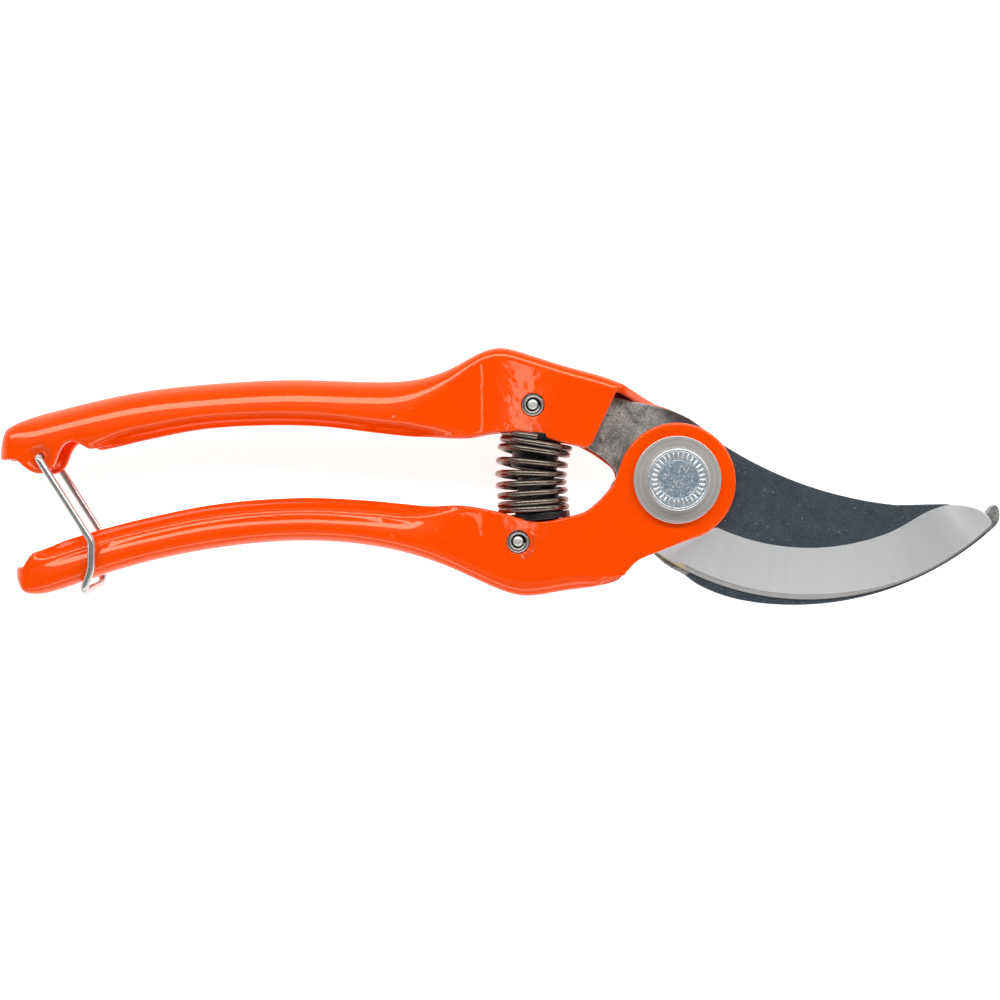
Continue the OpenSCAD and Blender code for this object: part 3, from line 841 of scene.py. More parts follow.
class Nodes:
    """A node tree with a few short ways to add nodes."""

    def __init__(self, tree, coordinates):
        self.tree = tree
        self.coords = tree.nodes.new("ShaderNodeTexCoord").outputs[coordinates]

    def add(self, kind, inputs, output=0, **settings):
        n = self.tree.nodes.new("ShaderNode" + kind)
        for key, value in settings.items():
            setattr(n, key, value)
        for key, value in inputs.items():
            if isinstance(value, bpy.types.NodeSocket):
                self.tree.links.new(value, n.inputs[key])
            else:
                n.inputs[key].default_value = value
        return n.outputs[output]

    def math(self, operation, a, b=0.0):
        return self.add("Math", {0: a, 1: b}, operation=operation)

    def spread(self, value, low, high, to_low=0.0, to_high=1.0):
        return self.add("MapRange", {"Value": value, "From Min": low, "From Max": high,
                                     "To Min": to_low, "To Max": to_high})

    def split(self, at=None):
        """X, Y and Z of a place or direction."""
        return self.add("SeparateXYZ", {0: at or self.coords}).node.outputs


class Graph(Nodes):
    """A principled material. Places are the piece's own, which at rest are the frame's, in metres."""

    def __init__(self, name, **sockets):
        self.material = bpy.data.materials.new(name)
        self.material.use_nodes = True
        super().__init__(self.material.node_tree, "Object")
        self.bsdf = self.tree.nodes["Principled BSDF"]
        for key, value in sockets.items():
            self.bsdf.inputs[key.replace("_", " ")].default_value = value

    def noise(self, scale, detail=2.0, roughness=0.5, distortion=0.0, at=None):
        return self.add("TexNoise", {"Vector": at or self.coords, "Scale": scale, "Detail": detail,
                                     "Roughness": roughness, "Distortion": distortion})

    def tint(self, factor, a, b):
        return self.add("Mix", {"Factor": factor, "A": (*a, 1) if isinstance(a, tuple) else a,
                                "B": (*b, 1) if isinstance(b, tuple) else b}, 2, data_type="RGBA")

    def polar(self, centre, along, across):
        """Coordinates that run round a centre in the XY plane: arc, radius and height."""
        at_x, at_y, at_z = self.split()
        x = self.math("SUBTRACT", at_x, centre[0] * MM)
        y = self.math("SUBTRACT", at_y, centre[1] * MM)
        angle = self.math("ARCTAN2", y, x)
        r = self.math("SQRT", self.math("ADD", self.math("MULTIPLY", x, x), self.math("MULTIPLY", y, y)))
        return self.add("CombineXYZ", {0: self.math("MULTIPLY", angle, along),
                                       1: self.math("MULTIPLY", r, across), 2: at_z}), r

    def bump(self, height, distance, strength=1.0, under=None):
        inputs = {"Height": height, "Distance": distance, "Strength": strength}
        if under is not None:
            inputs["Normal"] = under
        return self.add("Bump", inputs)

    def finish(self, **links):
        for key, value in links.items():
            self.tree.links.new(value, self.bsdf.inputs[key.replace("_", " ")])
        return self.material

    def grained(self, colour, grain, rough_from, rough_to, height, strength, relief=None):
        """Finishes with a roughness that follows the grain, and a fine relief of its own or the grain's."""
        rough = self.spread(grain, 0.3, 0.7, rough_from, rough_to)
        return self.finish(Base_Color=colour, Roughness=rough,
                           Normal=self.bump(relief or grain, height, strength))


def paint_material(name, ridge_at=None):
    """Glossy orange powder paint; ridge_at is the middle of a small pressed arc."""
    g = Graph(name, IOR=1.5, Specular_Tint=(1.0, 0.93, 0.68, 1))
    cloud = g.noise(70, 3)
    colour = g.tint(g.spread(cloud, 0.35, 0.65), (1.0, 0.076, 0.0003), (0.96, 0.07, 0.0003))
    dust = g.spread(g.noise(2100, 1, 0.4), 0.77, 0.8)
    colour = g.tint(g.math("MULTIPLY", dust, 0.4), colour, (1.0, 0.3, 0.15))
    rough = g.spread(g.noise(420, 3), 0.3, 0.7, 0.025, 0.055)
    peel = g.bump(g.noise(520, 2, 0.4), 0.00003, 0.4)
    if ridge_at is not None:
        at, r = g.polar(ridge_at, 1.0, 0.0)
        off = g.math("ABSOLUTE", g.math("SUBTRACT", r, RIDGE_R * MM))
        ring = g.spread(off, 0.00045, 0.0, 0.0, 1.0)
        turn = g.math("ABSOLUTE", g.math("ADD", g.split(at)[0], 0.35))
        part = g.spread(turn, 1.25, 0.75, 0.0, 1.0)
        height = g.math("MULTIPLY", ring, part)
        peel = g.bump(height, 0.0003, 1.0, under=peel)
    return g.finish(Base_Color=colour, Roughness=rough, Normal=peel)


def coat_colour(g):
    """Dark blue-grey coating with fine grains and a few bright specks."""
    grain = g.noise(3300, 3, 0.65)
    cloud = g.noise(330, 4, 0.6)
    colour = g.tint(g.spread(cloud, 0.3, 0.7), (0.036, 0.05, 0.064), (0.058, 0.072, 0.086))
    colour = g.tint(g.spread(grain, 0.5, 0.8), colour, (0.13, 0.16, 0.18))
    speck = g.spread(g.noise(1900, 0, 0.4), 0.8, 0.83)
    return g.tint(g.math("MULTIPLY", speck, 0.5), colour, (0.4, 0.46, 0.48)), grain


def coat_material():
    """The coating on the cutting blade's flat."""
    g = Graph("dark_coating", Metallic=0.35)
    colour, grain = coat_colour(g)
    return g.grained(colour, g.noise(900, 3), 0.36, 0.52, 0.00004, 0.5, relief=grain)


def ground_material(name, centre, light, dark, rough_from, rough_to, stained_to=None):
    """Steel ground across the edge: fine marks that run away from the edge's own centre, and a
    darker tone towards the tip, which is painted shade. It is stained brown up to X = stained_to."""
    g = Graph(name, Metallic=0.85)
    lines_at, _ = g.polar(centre, 0.7, 0.16)
    marks = g.noise(900, 3, 0.6, at=lines_at)
    bands_at, _ = g.polar(centre, 0.35, 0.02)
    bands = g.noise(90, 2, 0.5, at=bands_at)
    cloud = g.noise(160, 3, 0.6)
    colour = g.tint(g.spread(bands, 0.2, 0.8), light, dark)
    colour = g.tint(g.spread(cloud, 0.55, 0.85, 0, 0.12), colour, (0.52, 0.5, 0.46))
    x = g.split()[0]
    # painted shade: the steel is made darker along X towards the tip
    painted_tip_shade = g.spread(x, *(q * MM for q in TIP_SHADE_FROM), 0.0, 0.5)
    colour = g.tint(painted_tip_shade, colour, tuple(0.5 * q for q in dark))
    if stained_to is not None:
        stain = g.spread(x, (stained_to - 1.2) * MM, stained_to * MM, 0.85, 0.0)
        colour = g.tint(stain, colour, (0.42, 0.34, 0.2))
    return g.grained(colour, marks, rough_from, rough_to, 0.00001, 0.5)


def raw_colour(g):
    """Bare blotchy steel, browner where the scale was left."""
    blotch = g.noise(260, 5, 0.65, 0.6)
    fine = g.noise(2200, 3, 0.7)
    colour = g.tint(g.spread(blotch, 0.38, 0.62), (0.2, 0.2, 0.19), (0.6, 0.6, 0.56))
    return g.tint(g.spread(fine, 0.42, 0.75), colour, (0.1, 0.1, 0.1)), fine


def counter_material():
    """Counter blade: bare from the tang to behind the eye and at the beak, coated between."""
    g = Graph("hook_steel", Metallic=0.45)
    raw, fine = raw_colour(g)
    coated, _ = coat_colour(g)
    x, y, _ = g.split()
    wander = g.math("MULTIPLY", g.math("SUBTRACT", g.noise(300, 2), 0.5), 0.001)
    slanted = g.math("ADD", x, g.math("MULTIPLY", y, -0.75))
    line = g.math("ADD", slanted, wander)
    start = g.spread(line, COAT_FROM * MM, (COAT_FROM + 0.25) * MM)
    beak = g.spread(g.math("ADD", x, wander), (BEAK_FROM - 0.4) * MM, BEAK_FROM * MM)
    mask = g.math("MULTIPLY", start, g.math("SUBTRACT", 1.0, beak))
    raw = g.tint(g.math("MULTIPLY", beak, 0.4), raw, (0.09, 0.09, 0.09))
    across = g.math("ADD", x, y)
    near = g.math("ADD", across, g.math("MULTIPLY", wander, 4.0))
    scale_patch = g.spread(near, 0.0085, 0.0125)
    patch = g.math("MULTIPLY", scale_patch, g.math("SUBTRACT", 1.0, start))
    raw = g.tint(g.math("MULTIPLY", patch, 0.85), raw, (0.045, 0.034, 0.03))
    colour = g.tint(mask, raw, coated)
    return g.grained(colour, fine, 0.38, 0.58, 0.00004, 0.5)


def turned_material(name, colour_a, colour_b, centre, rings, rough_from, rough_to):
    """Steel turned on a lathe: rings round its own centre."""
    g = Graph(name, Metallic=0.7)
    at, _ = g.polar(centre, 0.0, rings)
    marks = g.noise(1000, 4, 0.6, at=at)
    broad = g.noise(350, 2, 0.5, at=at)
    colour = g.tint(g.spread(broad, 0.3, 0.7), colour_a, colour_b)
    return g.grained(colour, marks, rough_from, rough_to, 0.00002, 0.7)


def zinc_material():
    """Bluish zinc plate with bright flakes."""
    g = Graph("zinc_plating", Metallic=0.85)
    flake = g.add("TexVoronoi", {"Vector": g.coords, "Scale": 3400.0}, 1)
    shade = g.add("RGBToBW", {0: flake})
    fine = g.noise(2600, 4, 0.7)
    colour = g.tint(g.spread(fine, 0.35, 0.65), (0.25, 0.36, 0.48), (0.62, 0.72, 0.8))
    colour = g.tint(g.spread(shade, 0.74, 0.84, 0, 0.6), colour, (0.9, 0.94, 0.96))
    rough = g.spread(shade, 0, 1, 0.28, 0.5)
    return g.finish(Base_Color=colour, Roughness=rough, Normal=g.bump(fine, 0.00005, 0.8))


def zinc_bright_material():
    """The same plate on the stamped ring, polished by handling."""
    g = Graph("zinc_bright", Metallic=0.9)
    fine = g.noise(2400, 4, 0.7)
    colour = g.tint(g.spread(fine, 0.35, 0.65), (0.72, 0.77, 0.8), (0.93, 0.95, 0.95))
    return g.grained(colour, fine, 0.24, 0.42, 0.00004, 0.6)


def stamped_material():
    """Plate on the stamped ring: bluish in the hollows and rubbed bright on the marks."""
    g = Graph("zinc_stamped", Metallic=0.85)
    top = (BOLT[1][2] - 0.03) * MM
    fine = g.noise(2200, 4, 0.7)
    high = g.spread(g.split()[2], top - 0.0001, top - 0.00004)
    mask = g.math("MULTIPLY", high, g.spread(fine, 0.3, 0.5))
    colour = g.tint(mask, (0.24, 0.33, 0.42), (0.93, 0.95, 0.96))
    return g.grained(colour, fine, 0.3, 0.45, 0.00005, 0.8)


def streaked_metal(name, colour_a, colour_b, rough_from, rough_to, metallic=1.0, scale=1400):
    """Drawn or rolled steel with small streaks and stains."""
    g = Graph(name, Metallic=metallic)
    streak = g.noise(scale, 3, 0.6)
    stain = g.noise(scale / 6, 4, 0.6, 0.4)
    mixed = g.math("MULTIPLY", g.math("ADD", streak, stain), 0.5)
    colour = g.tint(g.spread(mixed, 0.3, 0.7), colour_a, colour_b)
    return g.grained(colour, streak, rough_from, rough_to, 0.000004, 0.3)


def plastic_material():
    """Black moulded plastic, unevenly dull."""
    g = Graph("black_plastic", IOR=1.48)
    grain = g.noise(1800, 3, 0.6)
    cloud = g.noise(240, 3)
    colour = g.tint(g.spread(cloud, 0.35, 0.65), (0.008, 0.008, 0.009), (0.02, 0.02, 0.022))
    return g.grained(colour, cloud, 0.26, 0.42, 0.00003, 0.5, relief=grain)


# ---- blades ----

EDGE = [[63.35, -9.15], [26, -23.9], [-3.8, -14.6]]
BLADE_BACK = [[8.4, 7.6], [26, -1.1], [44, -5]]
BLADE_TIP = [
    [44, -5], [50, -4.85], [54, -4.8], [57, -5.0], [59.6, -5.5], [61.6, -6.5], [62.9, -7.9],
]
BLADE_TANG = [
    [-8, -15.4], [-12, -17.2], [-20, -19], [-33, -20.2], [-36.4, -18], [-36.8, -11.4],
    [-34, -9.8], [-24, -9.6], [-18.4, -7.8], [-14.6, -4.2], [-12.6, -0.6], [-11, 1.6],
]
BLADE_EYE = [[-11, 1.6], [-1, 11.1], [8.4, 7.6]]
EDGE_CENTRE = circle_centre(*EDGE)
EDGE_R = math.dist(EDGE_CENTRE, EDGE[1])
BEVEL_R = EDGE_R - 10.4
CUT_T = CUT_HIGH - CUT_LOW
EDGE_T = 0.5
BEVEL_FLARE = [
    [-68, 0], [-62, -0.28], [-59, -0.35], [-56.4, -0.15], [-53.9, 0.3], [-51, 1.2],
    [-49.5, 1.4], [-48, 1.4],
]
# where the painted shade on the ground steel starts along X, and where it is deepest, in mm
TIP_SHADE_FROM = (2, 52)
HONED_W = 1.05
HONED_T = 0.3
HONED_FROM = (-1.6, 1.6)
HONED_TO = (28, 52)
HONED_LEFT = 0.35
HEEL_LINE = [[0.2, -14.6], [7.3, -10.3]]
HEEL_RISE = 0.07
GROUND_END = [[8.2, -9.4], [-2.0, -12.6], [-5.2, -15.4]]
BORDER_LAST = -51.4
STRIP_LAST = -46.5
COAT_FROM = 16.4
BEAK_FROM = 62.3

paint = paint_material("orange_paint")
lower_paint = paint_material("orange_paint_lower", LOWER_PIN[:2])
coat = coat_material()
ground = ground_material("ground_bevel", EDGE_CENTRE, (0.94, 0.945, 0.945), (0.88, 0.885, 0.89), 0.28, 0.36)
# the honed strip is the same steel as the bevel, with far darker tones: painted shade that keeps it grey
# under the lamps
honed = ground_material("honed_edge", EDGE_CENTRE, (0.31, 0.305, 0.3), (0.26, 0.255, 0.25), 0.3, 0.42,
                        stained_to=2.6)
hook_steel = counter_material()


def edge_distance(p):
    return np.hypot(p[:, 0] - EDGE_CENTRE[0], p[:, 1] - EDGE_CENTRE[1])


def heel_rise(p):
    """How much the grinding wheel's run-out lifts the bevel behind the heel line."""
    a, b = (np.array(q) for q in HEEL_LINE)
    d = unit(b - a)
    past = np.maximum((p - a) @ np.array([-d[1], d[0]]), 0)
    return HEEL_RISE * past ** 2 / (past + 0.5)


def behind_heel(p):
    """True past the line under the hub where the grinding stops."""
    behind = np.zeros(len(p), bool)
    for a, b in zip(GROUND_END, GROUND_END[1:]):
        d = unit(np.subtract(a, b))
        behind |= (p - b) @ np.array([-d[1], d[0]]) > -1e-4
    return behind


def bevel_start(degrees):
    """The distance from the edge's centre at which the bevel starts, for each direction from it;
    the bevel's border swings out near the tip."""
    return BEVEL_R + hermite(BEVEL_FLARE, degrees)


def bevel_height(p):
    start = bevel_start(np.degrees(np.arctan2(p[:, 1] - EDGE_CENTRE[1], p[:, 0] - EDGE_CENTRE[0])))
    down = (edge_distance(p) - start) / (EDGE_R - start)
    return CUT_T - (CUT_T - EDGE_T) * down + heel_rise(p)


def honed_from(p):
    """The distance at which the honed strip starts: it is nothing at the heel and narrow at the tip."""
    width = HONED_W * ramp(p[:, 0], *HONED_FROM) * (1 - (1 - HONED_LEFT) * ramp(p[:, 0], *HONED_TO))
    return EDGE_R - np.where(p[:, 1] < -5, width, 0)


def honed_height(p):
    """The honed strip falls away from the bevel at the same angle all along."""
    inside_strip = np.maximum(edge_distance(p) - honed_from(p), 0)
    return bevel_height(p) - (EDGE_T - HONED_T) / HONED_W * inside_strip


def cut_region(p):
    """0 on the flat, 1 on the bevel and 2 on the honed strip."""
    flat = (bevel_height(p) >= CUT_T) | behind_heel(p)
    strip = edge_distance(p) > honed_from(p)
    return np.where(strip, 2, np.where(flat, 0, 1))


def cut_top(p):
    z = np.minimum(CUT_T, bevel_height(p))
    z = np.where(edge_distance(p) > honed_from(p), np.minimum(z, honed_height(p)), z)
    return np.where(behind_heel(p), CUT_T, z)


def cut_skin(p, k):
    z = np.full(len(p), CUT_LOW) if k else CUT_LOW + np.maximum(cut_top(p), 0.12)
    return np.column_stack([p, z])


def slope_normal(height, p):
    """The normal of the surface whose height is given by a function of the place."""
    e = 0.01
    dx = (height(p + [e, 0]) - height(p - [e, 0])) / (2 * e)
    dy = (height(p + [0, e]) - height(p - [0, e])) / (2 * e)
    return unit(np.column_stack([-dx, -dy, np.ones(len(p))]))


def cut_normal(p, c, k):
    up = np.tile([0.0, 0, 1], (len(p), 1))
    if k:
        return -up
    region = cut_region(c)[:, None]
    n = np.where(region == 1, slope_normal(bevel_height, p), up)
    return np.where(region == 2, slope_normal(honed_height, p), n)


def cut_slots(c, k):
    """Coat, ground bevel or honed strip; the far face is coated and ground along the edge."""
    if k == 1:
        return np.where(edge_distance(c) > EDGE_R - 2.2, 1, 0)
    if k == 2:
        at_edge = (edge_distance(c) > EDGE_R - 0.3) & (c[:, 1] < -5)
        return np.where(at_edge, 2, np.where(cut_region(c) > 0, 1, 0))
    return cut_region(c)


def grid(x0, x1, y0, y1, step):
    """Points of a triangular grid."""
    rows = []
    for k, y in enumerate(np.arange(y0, y1, step * 0.87)):
        x = np.arange(x0 + (k % 2) * step / 2, x1, step)
        rows.append(np.column_stack([x, np.full(len(x), y)]))
    return np.vstack(rows)


def direction_of(x, y):
    """The direction from the edge's centre to a point, in degrees."""
    return math.degrees(math.atan2(y - EDGE_CENTRE[1], x - EDGE_CENTRE[0]))


def blade_creases():
    """The lines on the blade where its faces meet, and points between the edge and its strip."""
    border = arc(EDGE_CENTRE, BEVEL_R, direction_of(*GROUND_END[0]), BORDER_LAST, 0.5)
    outward = unit(border - EDGE_CENTRE)
    angles = np.degrees(np.arctan2(outward[:, 1], outward[:, 0]))
    bevel = np.array(EDGE_CENTRE) + outward * bevel_start(angles)[:, None]
    strip = arc(EDGE_CENTRE, EDGE_R, direction_of(0, -16.0), STRIP_LAST, 0.5)
    inward = unit(np.array(EDGE_CENTRE) - strip)
    wide = (EDGE_R - honed_from(strip))[:, None]
    heel_from, heel_to = (np.array(q) for q in HEEL_LINE)
    toward = unit(heel_to - heel_from)
    heel = resample([heel_from + 1.2 * toward, heel_to - 0.4 * toward], 0.5)
    first, corner, last = (np.array(q) for q in GROUND_END)
    ground_end = resample([first + 0.04 * (corner - first), corner, corner + 0.72 * (last - corner)], 0.5)
    return [bevel, strip + inward * wide, heel, ground_end], strip + inward * wide / 2


def make_cutting_blade():
    outline = joined(arc3(*BLADE_BACK, 0.7), smooth_path(BLADE_TIP + [EDGE[0]], 0.5), arc3(*EDGE, 0.6),
                     smooth_path([EDGE[2]] + BLADE_TANG, 0.8), arc3(*BLADE_EYE, 0.8))[:-1]
    creases, near_edge = blade_creases()
    dots = np.vstack([near_edge, grid(-37, 63, -24, 12, 1.3)])
    holes = [ring_loop((0, 0), BOLT_R + 0.05), ring_loop(LOWER_PIN[:2], PIN_R)]
    return shell("cutting_blade_ground", [outline] + holes, dots, cut_skin, cut_normal, 0.22,
                 [coat, ground, honed], lines=creases, slot_of=cut_slots, gap=0.3)


HOOK_HEEL = [
    [-3.6, -15.3], [-1.8, -16.9], [0.2, -18.1], [2.2, -19.2], [4.6, -20.9], [8, -22.5],
    [12, -23.75], [16, -24.5],
]
HOOK_BACK = [[16, -24.5], [34, -24.1], [62.9, -10.3]]
HOOK_BEAK = [
    [62.9, -10.3], [64.1, -9.2], [64.8, -8.0], [64.95, -6.6], [64.65, -5.4], [64.1, -5.0],
    [63.3, -5.4], [62.3, -6.45], [59.6, -8],
]
HOOK_EDGE = [[59.6, -8], [34, -18.2], [12.6, -13.2]]
HOOK_EYE = [[9.6, -8], [11.3, 1], [6.4, 9.6]]
HOOK_SHOULDER = [[6.4, 9.6], [3, 12.2], [-2, 14.3], [-11.8, 16.6], [-32, 22.3]]
HOOK_TANG = [
    [-32, 22.3], [-35.6, 20.4], [-36.2, 12.4], [-33.6, 10.6], [-22, 9.4], [-18.6, 7.2],
    [-16.2, 5.7], [-13.8, 4], [-11.6, 1.4], [-10.8, -2.6],
]
HOOK_BELLY = [[-10.8, -2.6], [-8.6, -9.2], [-3.6, -15.3]]


def counter_skin(p, k):
    return np.column_stack([p, np.full(len(p), COUNTER_LOW if k else COUNTER_HIGH)])


def counter_normal(p, c, k):
    return np.tile([0.0, 0, -1 if k else 1], (len(p), 1))


def make_counter_blade():
    outline = joined(
        smooth_path(HOOK_HEEL, 0.6), arc3(*HOOK_BACK, 0.7), smooth_path(HOOK_BEAK, 0.35),
        arc3(*HOOK_EDGE, 0.8), arc3(*HOOK_EYE, 0.8), smooth_path(HOOK_SHOULDER, 0.8),
        smooth_path(HOOK_TANG, 0.8), arc3(*HOOK_BELLY, 0.8))[:-1]
    holes = [ring_loop((0, 0), BOLT_R), ring_loop(UPPER_PIN[:2], PIN_R)]
    return shell("counter_blade_hook", [outline] + holes, grid(-37, 65, -26, 23, 1.4), counter_skin,
                 counter_normal, 0.3, [hook_steel], gap=0.4)


# ---- pivot ----

FRONT_WASHER = box_mm("front_washer")
REAR_WASHER = box_mm("rear_washer")
WASHER_R = FRONT_WASHER[1][0]
HEAD_LOW = FRONT_WASHER[1][2]
BOLT = box_mm("pivot_bolt")
NUT = box_mm("pivot_nut")
BOLT_HEAD_R = BOLT[1][0]
STAMP_IN = 3.95
STAMP_OUT = 5.45
STAMP_COUNT = 32

washer_steel = turned_material("washer_turning", (0.6, 0.56, 0.525), (0.86, 0.82, 0.775), (0, 0), 5.0,
                               0.26, 0.4)
zinc = zinc_material()
zinc_bright = zinc_bright_material()


def make_washer(name, low, high, up):
    """A turned washer, slightly dished between its rim and its bore."""
    t = high - low
    bore = BOLT_R + 0.03
    profile = [(bore, 0), (WASHER_R, 0), (WASHER_R, t), (WASHER_R - 1.1, t),
               (BOLT_HEAD_R + 0.5, t - 0.04), (bore, t - 0.04), (bore, 0)]
    at = (0, 0, low if up else high)
    return revolve(name, rounded(profile, [0, 0.1, 0.12, 0.3, 0.3, 0.05, 0]), at,
                   (0, 0, 1 if up else -1), [washer_steel], 128)


def make_bolt():
    """The bolt: head with a raised rim and a ring of stamped marks, plain shank, chamfered end."""
    top = BOLT[1][2] - HEAD_LOW
    down = NUT[0][2] - HEAD_LOW
    profile = [(0, down + 0.25), (2.2, down + 0.25), (2.6, down), (BOLT_R - 0.45, down),
               (BOLT_R, down + 0.45), (BOLT_R, 0), (BOLT_HEAD_R, 0), (BOLT_HEAD_R, top),
               (BOLT_HEAD_R - 0.45, top),
               (BOLT_HEAD_R - 0.55, top - 0.14), (STAMP_IN - 0.08, top - 0.14), (STAMP_IN - 0.2, top - 0.2),
               (0, top - 0.2)]
    strips = rounded(profile, [0, 0.1, 0.1, 0.1, 0.1, 0, 0.1, 0.28, 0.1, 0.05, 0.04, 0.04, 0])
    return revolve("pivot_bolt_plated", strips, (0, 0, HEAD_LOW), (0, 0, 1), [zinc, zinc_bright], 128,
                   slot_of=lambda p: 1 if p[0] > STAMP_IN and p[1] > 0.5 else 0)


def make_stamped_ring():
    """A ring of small stamped dashes on the bolt's head, each a soft bar along the radius."""
    z = BOLT[1][2] - 0.14
    radii = np.linspace(STAMP_IN, STAMP_OUT, 10)
    per = 12
    count = STAMP_COUNT * per
    verts = []
    for i, r in enumerate(radii):
        edge = math.sin(math.pi * i / (len(radii) - 1)) ** 0.5
        for j in range(count):
            wave = max(0.0, math.cos(2 * math.pi * (j % per) / per)) ** 0.8
            t = 2 * math.pi * j / count
            verts.append([r * math.cos(t), r * math.sin(t), z - 0.02 + 0.13 * edge * wave])
    faces = band_faces(len(radii), count)
    base = len(verts)
    for r in (STAMP_OUT, STAMP_IN):
        for j in range(count):
            t = 2 * math.pi * j / count
            verts.append([r * math.cos(t), r * math.sin(t), z - 0.1])
    last = (len(radii) - 1) * count
    for j in range(count):
        j1 = (j + 1) % count
        faces.append([last + j, base + j, base + j1, last + j1])
        faces.append([base + count + j, j, j1, base + count + j1])
        faces.append([base + j, base + count + j, base + count + j1, base + j1])
    return sharp_object("pivot_bolt_stamped_ring", verts, faces, stamped_material(), 60)


def make_nut():
    """A hexagon nut with its corners chamfered at both ends and a chamfered bore."""
    low, high = NUT[0][2], NUT[1][2]
    wide_x, wide_y, _ = NUT[1] - NUT[0]
    half = min(wide_x, wide_y) / 2
    turn = 0 if wide_x > wide_y else math.pi / 6
    face_r = half - 0.1
    bore = BOLT_R + 0.02
    count = 120

    def hexagon(t):
        u = (t - turn) % (math.pi / 3) - math.pi / 6
        return min(half / math.cos(u), half / math.cos(math.pi / 6) - 0.25)

    # radius, or None on the hexagon, then height and how it changes outside face_r
    rows = [(bore, low + 0.5, 0), (BOLT_R + 0.5, low, 0), (face_r, low, 0), (None, low, 0.55),
            (None, high, -0.33), (face_r, high, 0), (bore, high, 0)]
    verts, faces = [], []
    for k, (radius, height, slope) in enumerate(rows):
        here, after = k * count, (k + 1) % len(rows) * count
        for j in range(count):
            t = 2 * math.pi * j / count
            r = radius or hexagon(t)
            verts.append([r * math.cos(t), r * math.sin(t), height + slope * max(r - face_r, 0)])
            j1 = (j + 1) % count
            faces.append([here + j1, after + j1, after + j, here + j])
    return sharp_object("pivot_nut_plated", verts, faces, zinc, 25)


# ---- pins ----

pin_steel = streaked_metal("pin_spring_steel", (0.34, 0.33, 0.315), (0.6, 0.59, 0.57), 0.24, 0.38, 0.7)
# the core's steel is far lighter than the turns': painted light for the pin's bright centre
pin_core_painted_light = streaked_metal("painted_light_pin_core", (0.74, 0.73, 0.71), (0.95, 0.94, 0.92), 0.26, 0.4, 0.6)
PIN_SHEET = 0.5
PIN_TURNS = 1.9
PIN_CORE_R = 1.04
PIN_CORE_OFF = (-0.03, 0.12)
PIN_GAP = 0.08
PIN_TAPER = 0.1


def make_pin(name, node):
    """A pin rolled from sheet: a section with soft edges follows a spiral. The first turn starts
    thin, so that the pin is round outside."""
    low, high = box_mm(node)
    centre = (low + high) / 2
    steps = 120
    pitch = PIN_SHEET + PIN_GAP
    height = high[2] - low[2]
    soft = [(0, 0.32), (0.07, 0.1), (0.19, 0)]
    n = 4 * len(soft)
    verts = []
    for k in range(steps + 1):
        turns = PIN_TURNS * k / steps
        t = 2 * math.pi * turns + 0.5
        inner = PIN_R - PIN_TAPER - pitch * turns
        outer = PIN_R if turns <= 1 else inner + PIN_SHEET
        thick = outer - inner
        shrink = min(1, thick / 0.45)
        edge = [(outer - r * shrink, h) for r, h in soft]
        edge += [(inner + r * shrink, h) for r, h in reversed(soft)]
        for r, h in edge + [(r, height - h) for r, h in reversed(edge)]:
            verts.append([centre[0] + r * math.cos(t), centre[1] + r * math.sin(t), low[2] + h])
    faces = band_faces(steps + 1, n)
    faces.append(list(range(n)))
    faces.append([steps * n + j for j in range(n)][::-1])
    return sharp_object(name, verts, faces, pin_steel, 50)


def make_pin_core(name, node):
    """The innermost turn, rolled tight: a thin rod with domed ends, in a far lighter steel than the turns,
    which is painted light for the pin's bright centre.
    """
    low, high = box_mm(node)
    x, y, _ = (low + high) / 2
    x, y = x + PIN_CORE_OFF[0], y + PIN_CORE_OFF[1]
    path = np.array([[x, y, z] for z in np.linspace(low[2] + 0.5, high[2] - 0.5, 8)])
    return tube(name, path, PIN_CORE_R, 24, pin_core_painted_light, dome=0.4)


# ---- spring and seats ----

SEAT_TOP = np.array([-27.4, 8.8])
SEAT_TOP_TILT = -7.5
SEAT_BOTTOM = np.array([-27.2, -6.5])
SEAT_BOTTOM_TILT = 5.0
STEM_CROWN = 0.02
WIRE_R = 0.625
COIL_R = 7.2 - WIRE_R
COIL_FRONTS = [8.5, 7.23, 5.9, 3.52, 1.3, -0.65, -2.6, -4.45, -5.75]
COIL_AXIS = [-27.7, -27.8, -28.2, -28.6, -28.8, -28.8, -28.5, -28.4, -28.2]
COIL_LEAN = [-10.5, -11.0, -11.2, -9.5, -5.0, -1.0, 1.2, 1.6, 2.0]
COIL_END = 8.42

spring_steel = streaked_metal("oil_tempered_wire", (0.17, 0.14, 0.115), (0.25, 0.21, 0.175),
                              0.22, 0.28, scale=600)
plastic = plastic_material()


def make_spring():
    """The coil: the height, middle and lean of each turn are given where it crosses the front."""
    last = len(COIL_FRONTS) - 1
    k = np.linspace(0, COIL_END, int(COIL_END * 40))
    high = spline(list(enumerate(COIL_FRONTS)), np.minimum(k, last))
    high = high - 0.9 * np.maximum(k - last, 0) ** 1.5
    axis = spline(list(enumerate(COIL_AXIS)), np.minimum(k, last))
    lean = np.tan(np.radians(spline(list(enumerate(COIL_LEAN)), np.minimum(k, last))))
    x = -COIL_R * np.sin(2 * math.pi * k)
    path = np.column_stack([axis + x, high + x * lean, MID_Z + COIL_R * np.cos(2 * math.pi * k)])
    return tube("spring_coil", path, WIRE_R, 16, spring_steel, dome=0.1)


def make_seat(name, at, tilt, profile, radii):
    """A turned flange and peg, tilted in the XY plane by some degrees."""
    t = math.radians(tilt)
    axis = (-math.sin(t), math.cos(t), 0)
    centre = (at[0], at[1], MID_Z)
    return revolve(name, rounded(profile, radii), centre, axis, [plastic], 64, start=(0, 0, 1))


